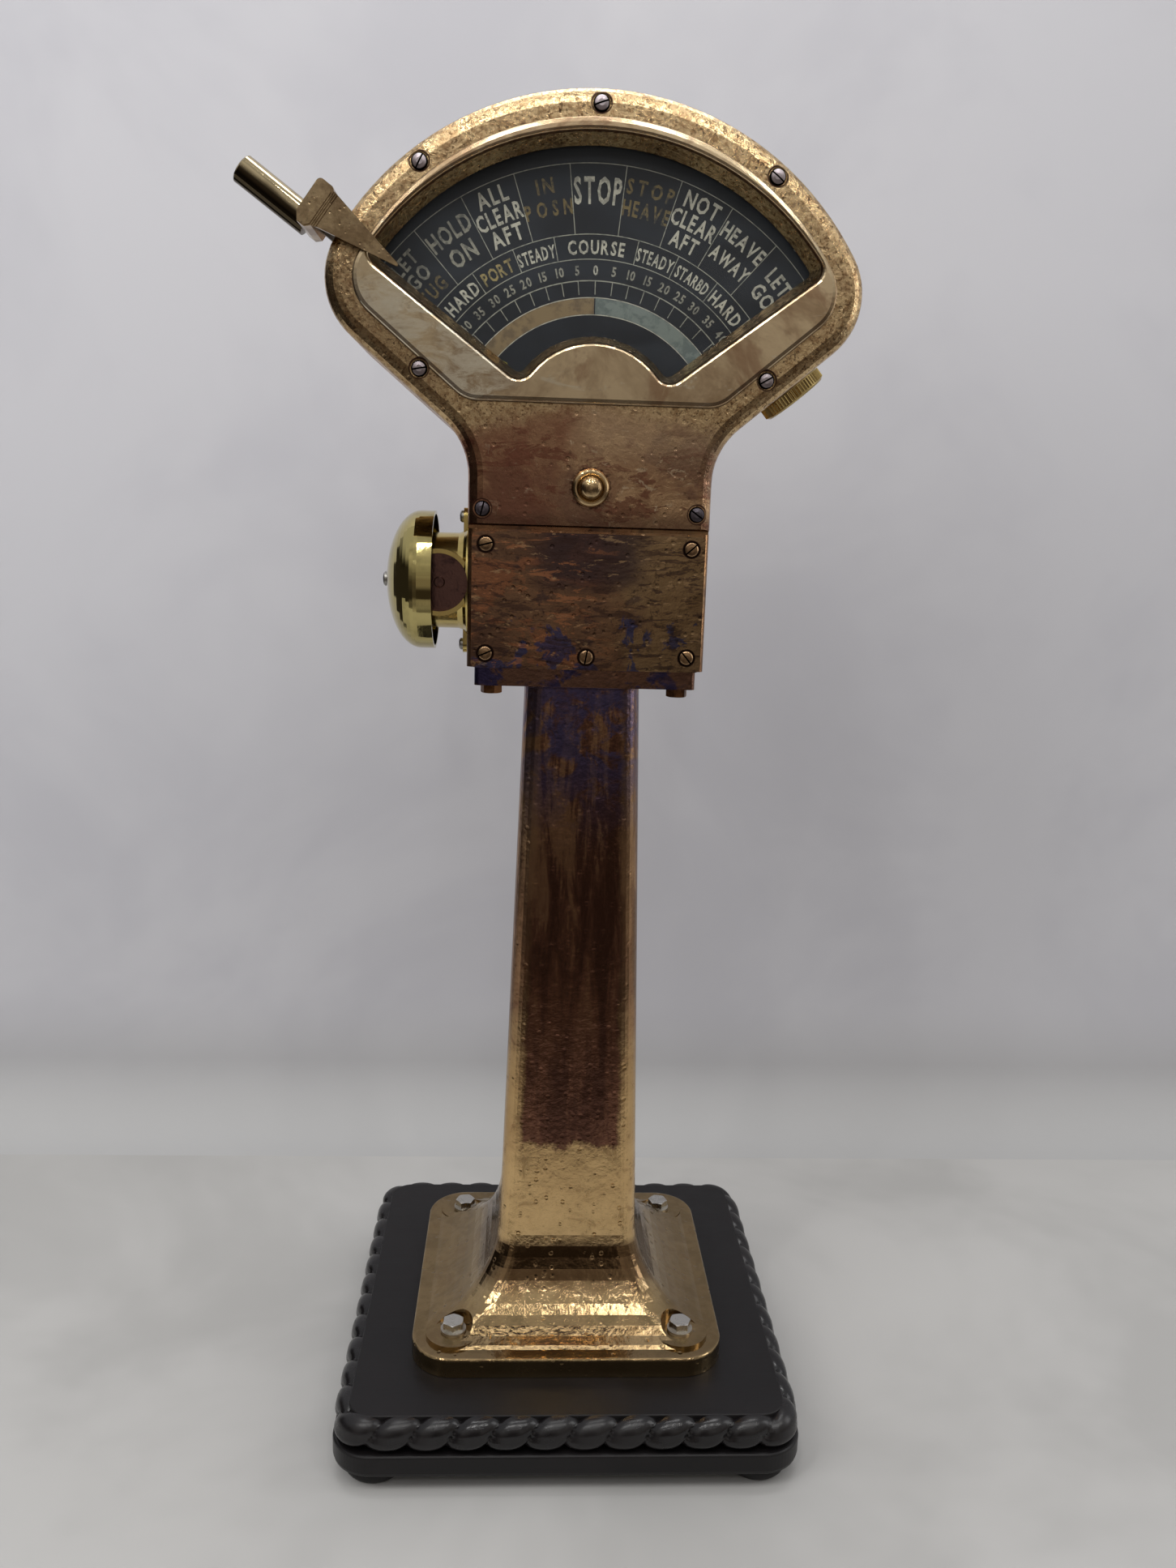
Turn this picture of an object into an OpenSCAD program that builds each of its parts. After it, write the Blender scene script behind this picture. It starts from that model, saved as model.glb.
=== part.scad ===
// Ship engine telegraph: a cast pedestal on a wooden stand carries a fan-shaped
// head with an order dial, a hand lever on the left rim, a reply pointer, a
// push button, a side bell and a dial lamp under a knurled screw cap.
// Frame: X to the right of the dial, front faces -Y, Z up, origin on the floor
// at the axis of the pedestal. Millimetres. A clock angle is measured from
// straight up, clockwise as seen from the front.

/* [Wooden stand] */
// Width of the lower board, side to side
base_w = 439; // [425:1:460]
// Height of the turned feet
foot_h = 16; // [10:1:24]
// Thickness of the lower board
plinth_t = 24; // [18:1:32]
// Thickness of the upper board, and height of the rope moulding
board_t = 30; // [26:1:34]

/* [Pedestal] */
// Height of the cast pedestal, from the boards to the head
column_h = 677; // [560:1:760]
// Width of the square foot flange
flange_w = 305; // [296:1:320]
// Thickness of the foot flange
flange_t = 20; // [16:1:22]
// Wall of the hollow casting
wall_t = 8; // [6:0.5:10]

/* [Head] */
// Depth of the fan-shaped case behind its cover
case_depth = 150; // [144:1:170]
// Height of the raised bezel above the screw band
bezel_rise = 5; // [3:0.5:7]

/* [Lever] */
// Clock angle at which the lever stands at its left stop
lever_rest = -54; // [-56:0.5:-52]
// Length of the round grip
grip_len = 69; // [50:1:110]
// Diameter of the round grip
grip_d = 25; // [18:0.5:26]

/* [Bell] */
// Outer diameter of the gong
gong_d = 127; // [122:1:132]
// Thickness of the gong's shell
gong_t = 3; // [2:0.5:4]

/* [Gears] */
// Module of the lever's sector gear and its pinion
lever_mod = 2; // [2:1:2]
// Thinning of each tooth, which gives the backlash
tooth_thin = 0.22; // [0.15:0.01:0.3]

/* [Hidden] */
$fn = 96;

gold = [0.80, 0.60, 0.28];
bright = [0.88, 0.74, 0.32];
steel = [0.62, 0.62, 0.64];
dark = [0.30, 0.26, 0.27];
wood = [0.05, 0.05, 0.055];

zp = foot_h;                      // underside of the lower board
zb = zp + plinth_t;               // top of the lower board
zf = zb + board_t;                // top of the upper board
zt = zf + column_h;               // top of the pedestal
lift = zt - 747;                  // the head is drawn for a pedestal top at 747
pv = 941;                         // height of the lever's pivot
yj = -88;                         // joint between case and front cover
yb = yj + case_depth;             // back of the fan
board_w = base_w - 31;            // width of the upper board
bolt_p = 112;                     // foot bolts, out from the centre
head_p = 84;                      // head bolts, out from the centre
arm_clock = lever_rest + 2;       // clock angle of the lever's arm
tip_clock = lever_rest + 3.8;     // clock angle of the lever's pointer
bell_y = -20;                     // axis of the bell
bell_z = 819;
cap_y = -25;                      // axis of the dial lamp
side_a = 50;                      // the slanted side's normal points this far below horizontal
lamp_p = [180.23, 1002.44];          // where the lamp's axis leaves the slanted side

// ---------- drawing helpers ----------
module head() { translate([0, 0, lift]) children(); }
module ext(y0, y1) { translate([0, y1, 0]) rotate([90, 0, 0]) linear_extrude(y1 - y0) children(); }
module cy(x, z, y0, y1, r) { translate([x, y1, z]) rotate([90, 0, 0]) cylinder(h = y1 - y0, r = r); }
module cz(x, y, z0, z1, r) { translate([x, y, z0]) cylinder(h = z1 - z0, r = r); }
module cx(x0, x1, y, z, r) { translate([x0, y, z]) rotate([0, 90, 0]) cylinder(h = x1 - x0, r = r); }
module box(a, b) { translate(a) cube(b - a); }
module clock(a) { translate([0, 0, pv]) rotate([0, a, 0]) children(); }
// the lamp's frame: local Z leaves the slanted side
module lamp_axis() { translate([lamp_p[0], cap_y, lamp_p[1]]) rotate([0, 90 + side_a, 0]) children(); }
module rsq(w, d, r) {
  square([w - 2 * r, d], center = true);
  square([w, d - 2 * r], center = true);
  for (x = [-1, 1], y = [-1, 1]) translate([x * (w / 2 - r), y * (d / 2 - r)]) circle(r = r);
}
module hexagon(af) { circle(r = af / sqrt(3), $fn = 6); }

function arcp(c, r, a0, a1, n) = [for (i = [0:n]) let (a = a0 + (a1 - a0) * i / n) [c[0] + r * cos(a), c[1] + r * sin(a)]];
function linep(a, b, n) = [for (i = [0:n]) a + (b - a) * i / n];
function mir(p) = [for (q = p) [-q[0], q[1]]];
function rev(p) = [for (i = [len(p) - 1:-1:0]) p[i]];
function closed(h) = concat(h, rev(mir(h)));

// Right half of the head's outline moved inward by d, from the top down to z = zc.
function fan(d, zc) = concat(
  arcp([0, 968], 256 - d, 89, 31.4, 20),
  arcp([167.4, 1070], 60 - d, 25, -50, 12),
  arcp([166, 912.2], 60 + d, 130, 180, 9),
  [[106 - d, zc]]);
// Right half of the bezel's outer line moved inward by g.
function bez(g) = concat(
  arcp([0, 968], 232 - g, 89, 31.4, 20),
  arcp([167.4, 1070], 36 - g, 25, -50, 10),
  arcp([98.1, 1004], 30 - g, -50, -90, 8));
// The window moved outward by f. Its lower edges are radial from the pivot
// at wa above the horizontal, and its middle bends up round the shaft's arch.
wa = 36.7;
function win_top(f) = concat(
  arcp([0, 956], 234 + f, 90, wa + 2, 20),
  arcp([178, 1088.6], 12 + f, wa, -8, 4));
function win_bot(f) = concat(
  arcp([0, 955], 68.5 - f, 90, 38.7, 7),
  arcp([64.4, 1006.5], 14 + f, -130, -53.3, 5),
  linep([64.4, 1006.5] + (14 + f) * [cos(-53.3), sin(-53.3)], [178, 1088.6] + (12 + f) * [cos(-53.3), sin(-53.3)], 9),
  arcp([178, 1088.6], 12 + f, -38, -20, 1));
function both(h) = concat(rev(mir([for (i = [1:len(h) - 1]) h[i]])), h);
function win(f) = concat(both(win_top(f)), rev(both(win_bot(f))));

// A solid through rings made of two chains of m points each. Each level is
// [y, first chain, second chain]; its two ends are closed by strips between the chains.
module loft(levels) {
  m = len(levels[0][1]);
  n = 2 * m;
  k = len(levels);
  pts = [for (l = levels) each concat([for (p = l[1]) [p[0], l[0], p[1]]], [for (p = rev(l[2])) [p[0], l[0], p[1]]])];
  sides = [for (i = [0:k - 2], j = [0:n - 1]) let (a = i * n + j, b = i * n + (j + 1) % n) each [[a, b, b + n], [a, b + n, a + n]]];
  e = (k - 1) * n;
  ends = [for (j = [0:m - 2]) each [
    [j, n - 2 - j, j + 1], [j, n - 1 - j, n - 2 - j],
    [e + j, e + j + 1, e + n - 2 - j], [e + j, e + n - 2 - j, e + n - 1 - j]]];
  polyhedron(concat(sides, ends) == [] ? [] : pts, concat(sides, ends));
}
// A solid through convex rings of [x, y, z] points, from the bottom up.
module stack(rings) {
  n = len(rings[0]);
  k = len(rings);
  polyhedron([for (r = rings) each r], concat(
    [for (i = [0:k - 2], j = [0:n - 1]) let (a = i * n + j, b = i * n + (j + 1) % n) each [[a, b + n, b], [a, a + n, b + n]]],
    [for (j = [1:n - 2]) [0, j, j + 1]],
    [for (j = [1:n - 2]) [(k - 1) * n, (k - 1) * n + j + 1, (k - 1) * n + j]]));
}
// Ring of a square with half-width h, corner radius r, at height z.
function sq_ring(h, r, z, m = 8) = [for (q = [0:3], i = [0:m]) let (a = q * 90 + i * 90 / m, c = q * 90 + 45)
  [(h - r) * sqrt(2) * cos(c) + r * cos(a), (h - r) * sqrt(2) * sin(c) + r * sin(a), z]];
// Square slab of half-width h from z0 to z1, with its edges rounded by eb below and et above.
module slab(h, r, z0, z1, eb, et) stack(concat(
  [for (t = [0:30:90]) sq_ring(h - eb + eb * sin(t), r - eb + eb * sin(t), z0 + eb - eb * cos(t), 16)],
  [for (t = [0:30:90]) sq_ring(h - et + et * cos(t), r - et + et * cos(t), z1 - et + et * sin(t), 16)]));

// ---------- wooden stand ----------
module bun_feet() color(wood)
  for (x = [-180, 180], y = [-180, 180]) translate([x, y, 0]) rotate_extrude() {
    square([22, foot_h]);
    intersection() { translate([22, foot_h / 2]) circle(r = foot_h / 2); translate([10, 0]) square([30, foot_h]); }
  }
module plinth_board() color(wood) difference() {
  slab(base_w / 2, 38, zp, zb, 6, 3);
  for (x = [-bolt_p, bolt_p], y = [-bolt_p, bolt_p]) cz(x, y, zb - 10, zb + 1, 6.1);
}
module base_board() color(wood) difference() {
  slab(board_w / 2, 24, zb, zf, 0.2, 1.2);
  for (x = [-bolt_p, bolt_p], y = [-bolt_p, bolt_p]) cz(x, y, zb - 1, zf + 1, 6.1);
}
module rope_section() intersection() {
  translate([0, board_t / 2]) circle(r = board_t / 2);
  translate([0.02, -1]) square([40, board_t + 2]);
}
module rope_moulding() color(wood) translate([0, 0, zb]) {
  l = board_w - 48;
  for (a = [0:90:270]) rotate(a) {
    translate([board_w / 2, l / 2, 0]) rotate([90, 0, 0]) linear_extrude(l) rope_section();
    translate([board_w / 2 - 24, l / 2, 0]) rotate_extrude(angle = 90) translate([24, 0]) rope_section();
  }
}

// ---------- pedestal ----------
// Half-width of the column at a height above the boards, to the top at column_h.
function col_h(z) = 54 + (column_h - 16 - z) * 0.0276 * 661 / (column_h - 16);
cove_h = col_h(112);
module pedestal() color(gold) difference() {
  union() {
    translate([0, 0, zf]) slab(flange_w / 2, 42, 0, flange_t, 0.6, 2.2);
    // bolt pads, drawn out to a point towards the column
    for (x = [-bolt_p, bolt_p], y = [-bolt_p, bolt_p]) hull() {
      cz(x, y, zf + 4, zf + 23.5, 27);
      cz(x * 0.62, y * 0.62, zf + 4, zf + 23.5, 3);
    }
    translate([0, 0, zf]) stack(concat(
      [for (t = [84:-7:0]) sq_ring(cove_h + 84 - 84 * cos(t), 20 + 8 * sin(t), flange_t - 0.4 + 92 - 92 * sin(t) + (t == 84 ? -3 : 0))],
      [sq_ring(col_h(column_h - 24), 20, column_h - 24)],
      [for (t = [15:15:90]) sq_ring(col_h(column_h - 16) + 8 - 8 * cos(t), 20, column_h - 24 + 8 * sin(t) + 0.01)]));
    translate([0, 0, zt - 16]) linear_extrude(16) rsq(198, 198, 5);
  }
  translate([0, 0, zf]) stack([sq_ring(104, 40, -1), sq_ring(100, 40, flange_t - 6), sq_ring(84, 30, 40), sq_ring(71, 20, 60),
    sq_ring(64, 14, 80), sq_ring(cove_h - wall_t, 12, 106), sq_ring(54 - wall_t, 12, column_h - 16), sq_ring(54 - wall_t, 12, column_h + 1)]);
  for (x = [-bolt_p, bolt_p], y = [-bolt_p, bolt_p]) {
    cz(x, y, zf - 1, zf + 60, 6.6);
    cz(x, y, zf + 23.5, zf + 60, 19);
  }
  for (x = [-head_p, head_p], y = [-head_p, head_p]) cz(x, y, zt - 17, zt + 1, 5.5);
}
module foot_bolts() color(steel)
  for (x = [-bolt_p, bolt_p], y = [-bolt_p, bolt_p]) {
    translate([x, y, zf + 26]) rotate(20 * (x + y) / bolt_p + 8) difference() {
      intersection() {
        linear_extrude(8) hexagon(19);
        rotate_extrude() polygon([[0, -1], [12, -1], [12, 7.2], [9.6, 8], [0, 8]]);
      }
    }
    cz(x, y, zb - 8, zf + 26, 6);
  }
module foot_washers() color(steel)
  for (x = [-bolt_p, bolt_p], y = [-bolt_p, bolt_p]) difference() {
    cz(x, y, zf + 23.5, zf + 26, 12.5);
    cz(x, y, zf + 20, zf + 30, 6.3);
  }
module flange_bolts() color(dark)
  for (x = [-head_p, head_p], y = [-head_p, head_p]) {
    translate([x, y, zt - 24]) intersection() {
      linear_extrude(8) rotate(12 * x / head_p) hexagon(17);
      rotate_extrude() polygon([[0, 0], [8.5, 0], [10.5, 0.8], [10.5, 9], [0, 9]]);
    }
    cz(x, y, zt - 16, zt + 14, 5);
  }

// ---------- case and covers ----------
head_screws = [[0, 1211], [-148, 1161], [148, 1161], [-148, 999], [148, 999], [-93.5, 885], [93.5, 885]];
box_screws = [[-90, 855], [90, 855], [-89.5, 760], [89.5, 760], [0, 758.5]];
frame_studs = [[-66, 905], [66, 905], [-62, 1003], [62, 1003]];
dial_lugs = [for (s = [-1, 1], a = [27, 48]) [s * 233 * sin(a), 956 + 233 * cos(a)]];
module slot2() { polygon(concat([for (a = [-58:4:58]) [200 * sin(a), pv + 200 * cos(a)]], [for (a = [58:-4:-58]) [310 * sin(a), pv + 310 * cos(a)]])); }
module housing() color(gold) head() difference() {
  union() {
    difference() {
      union() {
        loft([for (l = [[yb, 14], [yb - 0.4, 10.5], [yb - 2, 6.5], [yb - 5, 3.2], [yb - 9, 1], [yb - 14, 0], [yj, 0]])
          [l[0], fan(l[1], 862), mir(fan(l[1], 862))]]);
        translate([0, 0, 747]) linear_extrude(121) rsq(212, 192, 6);
        translate([-106, 0, 0]) rotate([90, 0, 90]) linear_extrude(212) polygon([[50, 860], [96, 860], [96, 868], [90, 876], [62, 898], [50, 898]]);
      }
      ext(yj - 1, yb - wall_t) polygon(closed(fan(wall_t, 895)));
      box([-98, -80, 757], [98, yb - wall_t, 897]);
      box([-98, -88, 757], [98, 88, 860]);
      box([-80, -97, 768], [80, -87, 846]);
      ext(-68, -54) slot2();
    }
    for (s = head_screws) cy(s[0], s[1], yj, s[1] > 1100 ? -70 : -60, s[1] == 999 ? 11.5 : 9.5);
    for (s = box_screws) cy(s[0], s[1], -96, -74, 8.5);
    for (s = dial_lugs)
      translate([s[0], -68, s[1]]) rotate([0, atan2(s[0], s[1] - 956), 0]) translate([-8, -3, -8]) cube([16, 3, 34]);
    for (s = frame_studs) cy(s[0], s[1], 16, yb - 4, 8);
    box([-60, 78, 775], [60, 90, 850]);
    // pad under the dial lamp
    lamp_axis() translate([0, 0, -9]) cylinder(h = 9, r = 27);
  }
  for (s = head_screws) cy(s[0], s[1], yj - 1, -73, 4);
  for (s = box_screws) cy(s[0], s[1], -97, -78, 3.5);
  for (s = dial_lugs) cy(s[0], s[1], -75, -60, 2);
  for (s = frame_studs) cy(s[0], s[1], 15, 36, 3);
  for (x = [-head_p, head_p], y = [-head_p, head_p]) cz(x, y, 746, 762, 5.1);
  cz(0, 0, 740, 760, 36);
  lamp_axis() translate([0, 0, -30]) cylinder(h = 40, r = 19);
  cx(-110, -90, bell_y, bell_z, 7);
  for (s = [-59, 59]) cx(-110, -99, bell_y, bell_z + s, 3);
}
module head_cover() color(gold) head() difference() {
  union() {
    loft([for (l = [[yj, 0], [-92, 0], [-95, 1.2], [-98, 4.2], [-100, 8.2], [-101, 13]])
      [l[0], fan(l[1], 871 + min(l[1], 2.5) * 0.6), mir(fan(l[1], 871 + min(l[1], 2.5) * 0.6))]]);
    loft([for (l = [[-100, 0], [-101 - bezel_rise * 0.5, 0.4], [-101 - bezel_rise * 0.85, 1.8], [-101 - bezel_rise, 4.5]])
      [l[0], bez(l[1]), mir(bez(l[1]))]]);
    ext(-88.5, -86.5) polygon(win(4));
  }
  loft([for (l = [[-86, -8.2], [-101 - bezel_rise + 2, 0], [-101 - bezel_rise + 0.6, 0.8], [-101 - bezel_rise, 2.2], [-101 - bezel_rise - 3, 9]])
    [l[0], both(win_top(l[1])), both(win_bot(l[1]))]]);
  for (s = head_screws) {
    cy(s[0], s[1], -90 - 30, -97, 8);
    cy(s[0], s[1], -99, yj + 1, 4.4);
  }
  cy(0, 905, -102, -90, 11);
  cy(0, 905, -95, yj + 1, 4.15);
}
module slotted(head_r, head_h, shank_r, shank_l) {
  // head's top at local z = 0, shank downwards
  difference() {
    union() {
      rotate_extrude() polygon([[0, -head_h], [head_r, -head_h], [head_r, -head_h * 0.45], [head_r * 0.8, -head_h * 0.15], [head_r * 0.4, 0], [0, 0]]);
      translate([0, 0, -head_h - shank_l]) cylinder(h = shank_l + 0.01, r = shank_r);
    }
    translate([-head_r, -0.7, -1.4]) cube([2 * head_r, 1.4, 3]);
  }
}
module head_cover_screws() color(steel) head()
  for (i = [0:len(head_screws) - 1]) let (s = head_screws[i])
    translate([s[0], -101.2, s[1]]) rotate([90, 0, 0]) rotate([20, 63, -38, 10, 30, 75, -35][i]) slotted(6.75, 4.2, 3.95, 22);
module box_cover() color(dark) head() difference() {
  ext(-102, -96) translate([0, 806.5]) rsq(204, 119, 5);
  for (s = box_screws) { cy(s[0], s[1], -103, -100.4, 7.2); cy(s[0], s[1], -103, -95, 3.8); }
}
module box_cover_screws() color(dark) head()
  for (i = [0:len(box_screws) - 1]) let (s = box_screws[i])
    translate([s[0], -103.2, s[1]]) rotate([90, 0, 0]) rotate([15, 42, 24, -50, 80][i]) slotted(6.3, 2.8, 3.45, 11);
module glass_gasket() color([0.06, 0.06, 0.06]) head() ext(-86.5, -85.5) difference() { polygon(win(3.8)); polygon(win(-7.5)); }
module window_glass() color([0.7, 0.75, 0.78, 0.3]) head() ext(-85.5, -82.5) polygon(win(3.8));
module glass_retainer() color(dark) head() ext(-82.5, -81) difference() { polygon(win(6)); polygon(win(-6)); }

// ---------- dial ----------
module dial_plate() color([0.07, 0.08, 0.10]) head() difference() {
  ext(-74, -71) polygon(closed(concat(arcp([0, 956], 241, 89, wa - 1, 20), [[140, 1020], [92, 972], [80, 925]])));
  cy(0, pv, -75, -70, 6);
  for (s = dial_lugs) cy(s[0], s[1], -75, -70, 2.2);
  for (x = [-66, 66]) cy(x, 936, -75, -70, 2.2);
}
module dial_screws() color(steel) head() {
  for (s = dial_lugs) translate([s[0], -76, s[1]]) rotate([90, 0, 0]) slotted(4, 2, 1.95, 7);
  for (x = [-66, 66]) translate([x, -76, 936]) rotate([90, 0, 0]) slotted(4, 2, 1.95, 9);
}
module dial_pillars() color(steel) head()
  for (x = [-66, 66]) difference() { cy(x, 936, -71, -50, 5); cy(x, 936, -72, -60, 2.05); }

// ---------- mechanism, standing ----------
module frame_plate(zl) {
  polygon([[-78, 893], [-78, 1015], [78, 1015], [78, 893], [50, zl], [-50, zl]]);
}
module bearing_frame() color(steel) head() difference() {
  union() {
    ext(-50, -42) intersection() { frame_plate(842); translate([-90, 800]) square([180, 178]); }
    ext(8, 16) frame_plate(836);
    for (x = [-78, 70]) box([x, -50, 896], [x + 8, 16, 932]);
  }
  cy(0, pv, -60, 20, 14);
  cy(0, 861, -60, 20, 5.08);
  cy(0, 989, 0, 20, 20.1);
  for (s = frame_studs) cy(s[0], s[1], 0, 20, 3.3);
}
module bush(y0, y1, yf0, yf1) { cy(0, pv, y0, y1, 14); cy(0, pv, yf0, yf1, 18); }
module front_bush() color(bright) head() difference() { bush(-54, -42, -54, -50); cy(0, pv, -60, -30, 10.06); }
module rear_bush() color(bright) head() difference() { bush(8, 20, 16, 20); cy(0, pv, 0, 30, 10.06); }
module index_plate() color(steel) head() difference() {
  ext(-42, -39) difference() {
    polygon(concat([for (a = [-62:3.1:62]) [101 * sin(a), pv + 101 * cos(a)]], [for (a = [62:-6.2:-62]) [24 * sin(a), pv + 24 * cos(a)]]));
    for (k = [-4:4]) let (a = arm_clock + 50 + 12 * k - 0.0) translate([105 * sin(a), pv + 105 * cos(a)]) circle(r = 7.5, $fn = 32);
  }
}
module brush_holder() color([0.16, 0.10, 0.07]) head() difference() {
  box([30, 16, 846], [46, 54, 876]);
  box([29, 20, 857], [37, 51, 865]);
}
module brushes() color(bright) head() for (i = [0:4]) box([22.4, 22 + 6 * i, 858.5], [37, 25 + 6 * i, 863.5]);
module motor_case() color([0.20, 0.20, 0.22]) head() difference() {
  union() { cy(0, 989, -14, 24, 20); cy(0, 989, 16, 19, 27); }
  cy(0, 989, -11, 21, 17);
  cy(0, 989, -20, 30, 2.58);
}
module lamp_boss() color(gold) head() lamp_axis() difference() {
  union() { cylinder(h = 2, r = 29); cylinder(h = 9.5, r = 24.5); }
  translate([0, 0, -1]) cylinder(h = 20, r = 19);
}
module button_collar() color(gold) head() difference() {
  translate([0, -101, 905]) rotate([90, 0, 0]) rotate_extrude() polygon([[9, 0], [16.6, 0], [16.3, 1.6], [15.2, 3.3], [13.8, 4.2], [12.4, 4.3], [11.2, 3.7], [10.2, 2.6], [9, 2.4]]);
  cy(0, 905, -110, -100, 9.58);
}
module contact_block() color([0.16, 0.10, 0.07]) head() { box([-14, -80, 876], [14, -62, 895]); box([-9, -73, 895], [9, -62, 914]); }
module terminal_block() color([0.16, 0.10, 0.07]) head() { box([-56, 66, 780], [56, 78, 846]); for (x = [-48:12:48]) box([x - 0.8, 62, 782], [x + 0.8, 66, 844]); }
module terminal_screws() color(bright) head() for (x = [-42:12:42], z = [795, 831]) cy(x, z, 61, 66, 3.4);

// ---------- bell ----------
module bell_base() color(bright) head() difference() {
  union() {
    cx(-142, -106, bell_y, bell_z, 44);
    translate([-106, bell_y, bell_z]) rotate([0, -90, 0]) rotate_extrude() polygon([[0, 0], [51, 0], [50, 3], [46, 6], [44, 11], [0, 11]]);
    for (s = [-59, 59]) {
      cx(-113, -106, bell_y, bell_z + s, 8);
      box([-113, bell_y - 8, bell_z + min(s, 0.7 * s)], [-106, bell_y + 8, bell_z + max(s, 0.7 * s)]);
    }
    translate([-133, bell_y - 46, bell_z]) rotate([-90, 0, 0]) cylinder(h = 30, r = 30);
  }
  cx(-139, -105, bell_y, bell_z, 38);
  translate([-133, bell_y - 60, bell_z]) rotate([-90, 0, 0]) cylinder(h = 40, r = 26);
  cx(-150, -142, bell_y, bell_z, 80);
  cx(-150, -130, bell_y, bell_z, 5.05);
  for (s = [-59, 59]) cx(-120, -100, bell_y, bell_z + s, 3.3);
  box([-170, bell_y - 60, bell_z - 60], [-141.99, bell_y + 60, bell_z + 60]);
  box([-106, bell_y - 60, bell_z - 60], [-90, bell_y + 60, bell_z + 60]);
}
module bell_base_screws() color(steel) head()
  for (s = [-59, 59]) translate([-117, bell_y, bell_z + s]) rotate([0, -90, 0]) rotate(s) slotted(5.5, 4, 2.95, 14);
module bell_disc() color(dark) head() {
  cy(-133, bell_z, -59, -57, 26);
  translate([-133, -59, bell_z]) rotate([90, 0, 0]) rotate_extrude() polygon([[0, -0.5], [5, -0.5], [5, 0.8], [4.2, 1.5], [0, 1.5]]);
}
module bell_coil() color([0.16, 0.05, 0.04]) head() {
  for (s = [-18.6, 18.6]) { cx(-137, -107, bell_y, bell_z + s, 13); }
  cx(-138.9, -137, bell_y, bell_z - 18.6, 5); cx(-138.9, -137, bell_y, bell_z + 18.6, 5);
  box([-107, bell_y - 10, bell_z - 30], [-106, bell_y + 10, bell_z + 30]);
}
module gong_post() color(steel) head() difference() {
  union() { cx(-178, -142, bell_y, bell_z, 8); cx(-142, -131, bell_y, bell_z, 5); cx(-150, -142, 8, 797, 1.45); }
  cx(-180, -165, bell_y, bell_z, 3);
}
gr = gong_d / 2;
function gong_line(d) = concat([[0, 45 - d]], [for (a = [84:-6:0]) [(gr - d) * cos(a), 13 + (32 - d) * sin(a)]]);
module gong() color(bright) head() translate([-139, bell_y, bell_z]) rotate([0, -90, 0]) rotate_extrude() difference() {
  polygon(concat(gong_line(0), [[gr, 0], [gr - gong_t, 0]], rev(gong_line(gong_t))));
  square([3.2, 60]);
}
module gong_screw() color(steel) head() translate([-188, bell_y, bell_z]) rotate([0, -90, 0]) rotate(25) slotted(6.5, 4, 2.95, 16);

// ---------- lever ----------
module lever_arm() color(steel) head() clock(arm_clock) difference() {
  union() {
    cy(0, 0, -66, -56, 24);
    ext(-66, -56) polygon([[-15, 0], [15, 0], [10, 286], [-10, 286]]);
  }
  cy(0, 0, -70, -50, 10);
}
module lever_head() color(gold) head() clock(lever_rest) difference() {
  union() {
    ext(-114.6, -56) { polygon([[-9, 290], [-5, 286], [26, 286], [30, 290], [30, 298], [26, 302], [-2, 302], [-9, 297]]); for (z = [290, 298]) translate([26, z]) circle(r = 4); }
    ext(-116, -114.6) polygon([[-8, 290.6], [-4.4, 287.4], [25.6, 287.4], [28.6, 290.4], [28.6, 297.6], [25.6, 300.6], [-1.6, 300.6], [-8, 296.4]]);
    ext(-110.6, -107) polygon([[-4, 288], [13, 214.6], [13.6, 213.8], [14.6, 213.8], [15.4, 214.8], [28, 286], [22, 294]]);
    // fillet between the rib and the pointer plate
    ext(-112, -110.6) polygon([[-4, 288], [-3.6, 283.2], [27.4, 283.2], [27.6, 288]]);
    ext(-113.4, -112) polygon([[-4.5, 288], [-4.5, 284.8], [27.6, 284.8], [27.6, 288]]);
  }
}
module lever_grip() color(gold) head() clock(lever_rest) translate([0, -62, 302]) rotate_extrude()
  polygon([[0, 0], [grip_d / 2, 0], [grip_d / 2, grip_len - 1.2], [grip_d / 2 - 1.2, grip_len], [0, grip_len]]);
module main_shaft() color(steel) head() difference() { cy(0, pv, -68, 24, 10); cy(0, pv, -70, 30, 5.1); }

// Involute tooth of module md, z teeth, centred on clock angle a: points from one root to the other.
function inv_a(a) = tan(a) * 180 / PI - a;
function tooth(md, z, a) = let (rp = md * z / 2, rb = rp * cos(20), ra = rp + md, rr = rp - 1.25 * md, r0 = max(rb, rr),
    h = 90 / z - tooth_thin / 2 / rp * 180 / PI,
    fl = [for (i = [0:4]) let (r = r0 + (ra - r0) * i / 4) [r, h + inv_a(20) - inv_a(acos(min(1, rb / r)))]])
  concat([[rr, a - fl[0][1]]], [for (p = fl) [p[0], a - p[1]]], [for (p = rev(fl)) [p[0], a + p[1]]], [[rr, a + fl[0][1]]]);
function polar(p) = [for (q = p) [q[0] * sin(q[1]), q[0] * cos(q[1])]];
function gear_line(md, z, a0) = polar([for (i = [0:z - 1]) each tooth(md, z, a0 + 360 / z * i)]);
module sector_gear() color(bright) head() difference() {
  union() {
    // toothed quadrant, in mesh below the pivot at rest
    translate([0, 0, pv]) ext(-30, -22) polygon(concat([[0, 0]], polar(concat([[54, 66]], [for (i = [-18:2]) each tooth(2, 60, 180 + 6 * i)], [[54, 198]]))));
    cy(0, pv, -38, -20, 20);
    clock(arm_clock) ext(-36, -32) polygon([[-10, 0], [10, 0], [6, 112], [-6, 112]]);
    clock(arm_clock) cy(0, 108, -42, -36, 2.5);
  }
  cy(0, pv, -40, -10, 10);
}
module detent_roller() color(steel) head() clock(arm_clock) difference() { cy(0, 108, -41.5, -38, 5.5); cy(0, 108, -45, -30, 2.55); }

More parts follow.
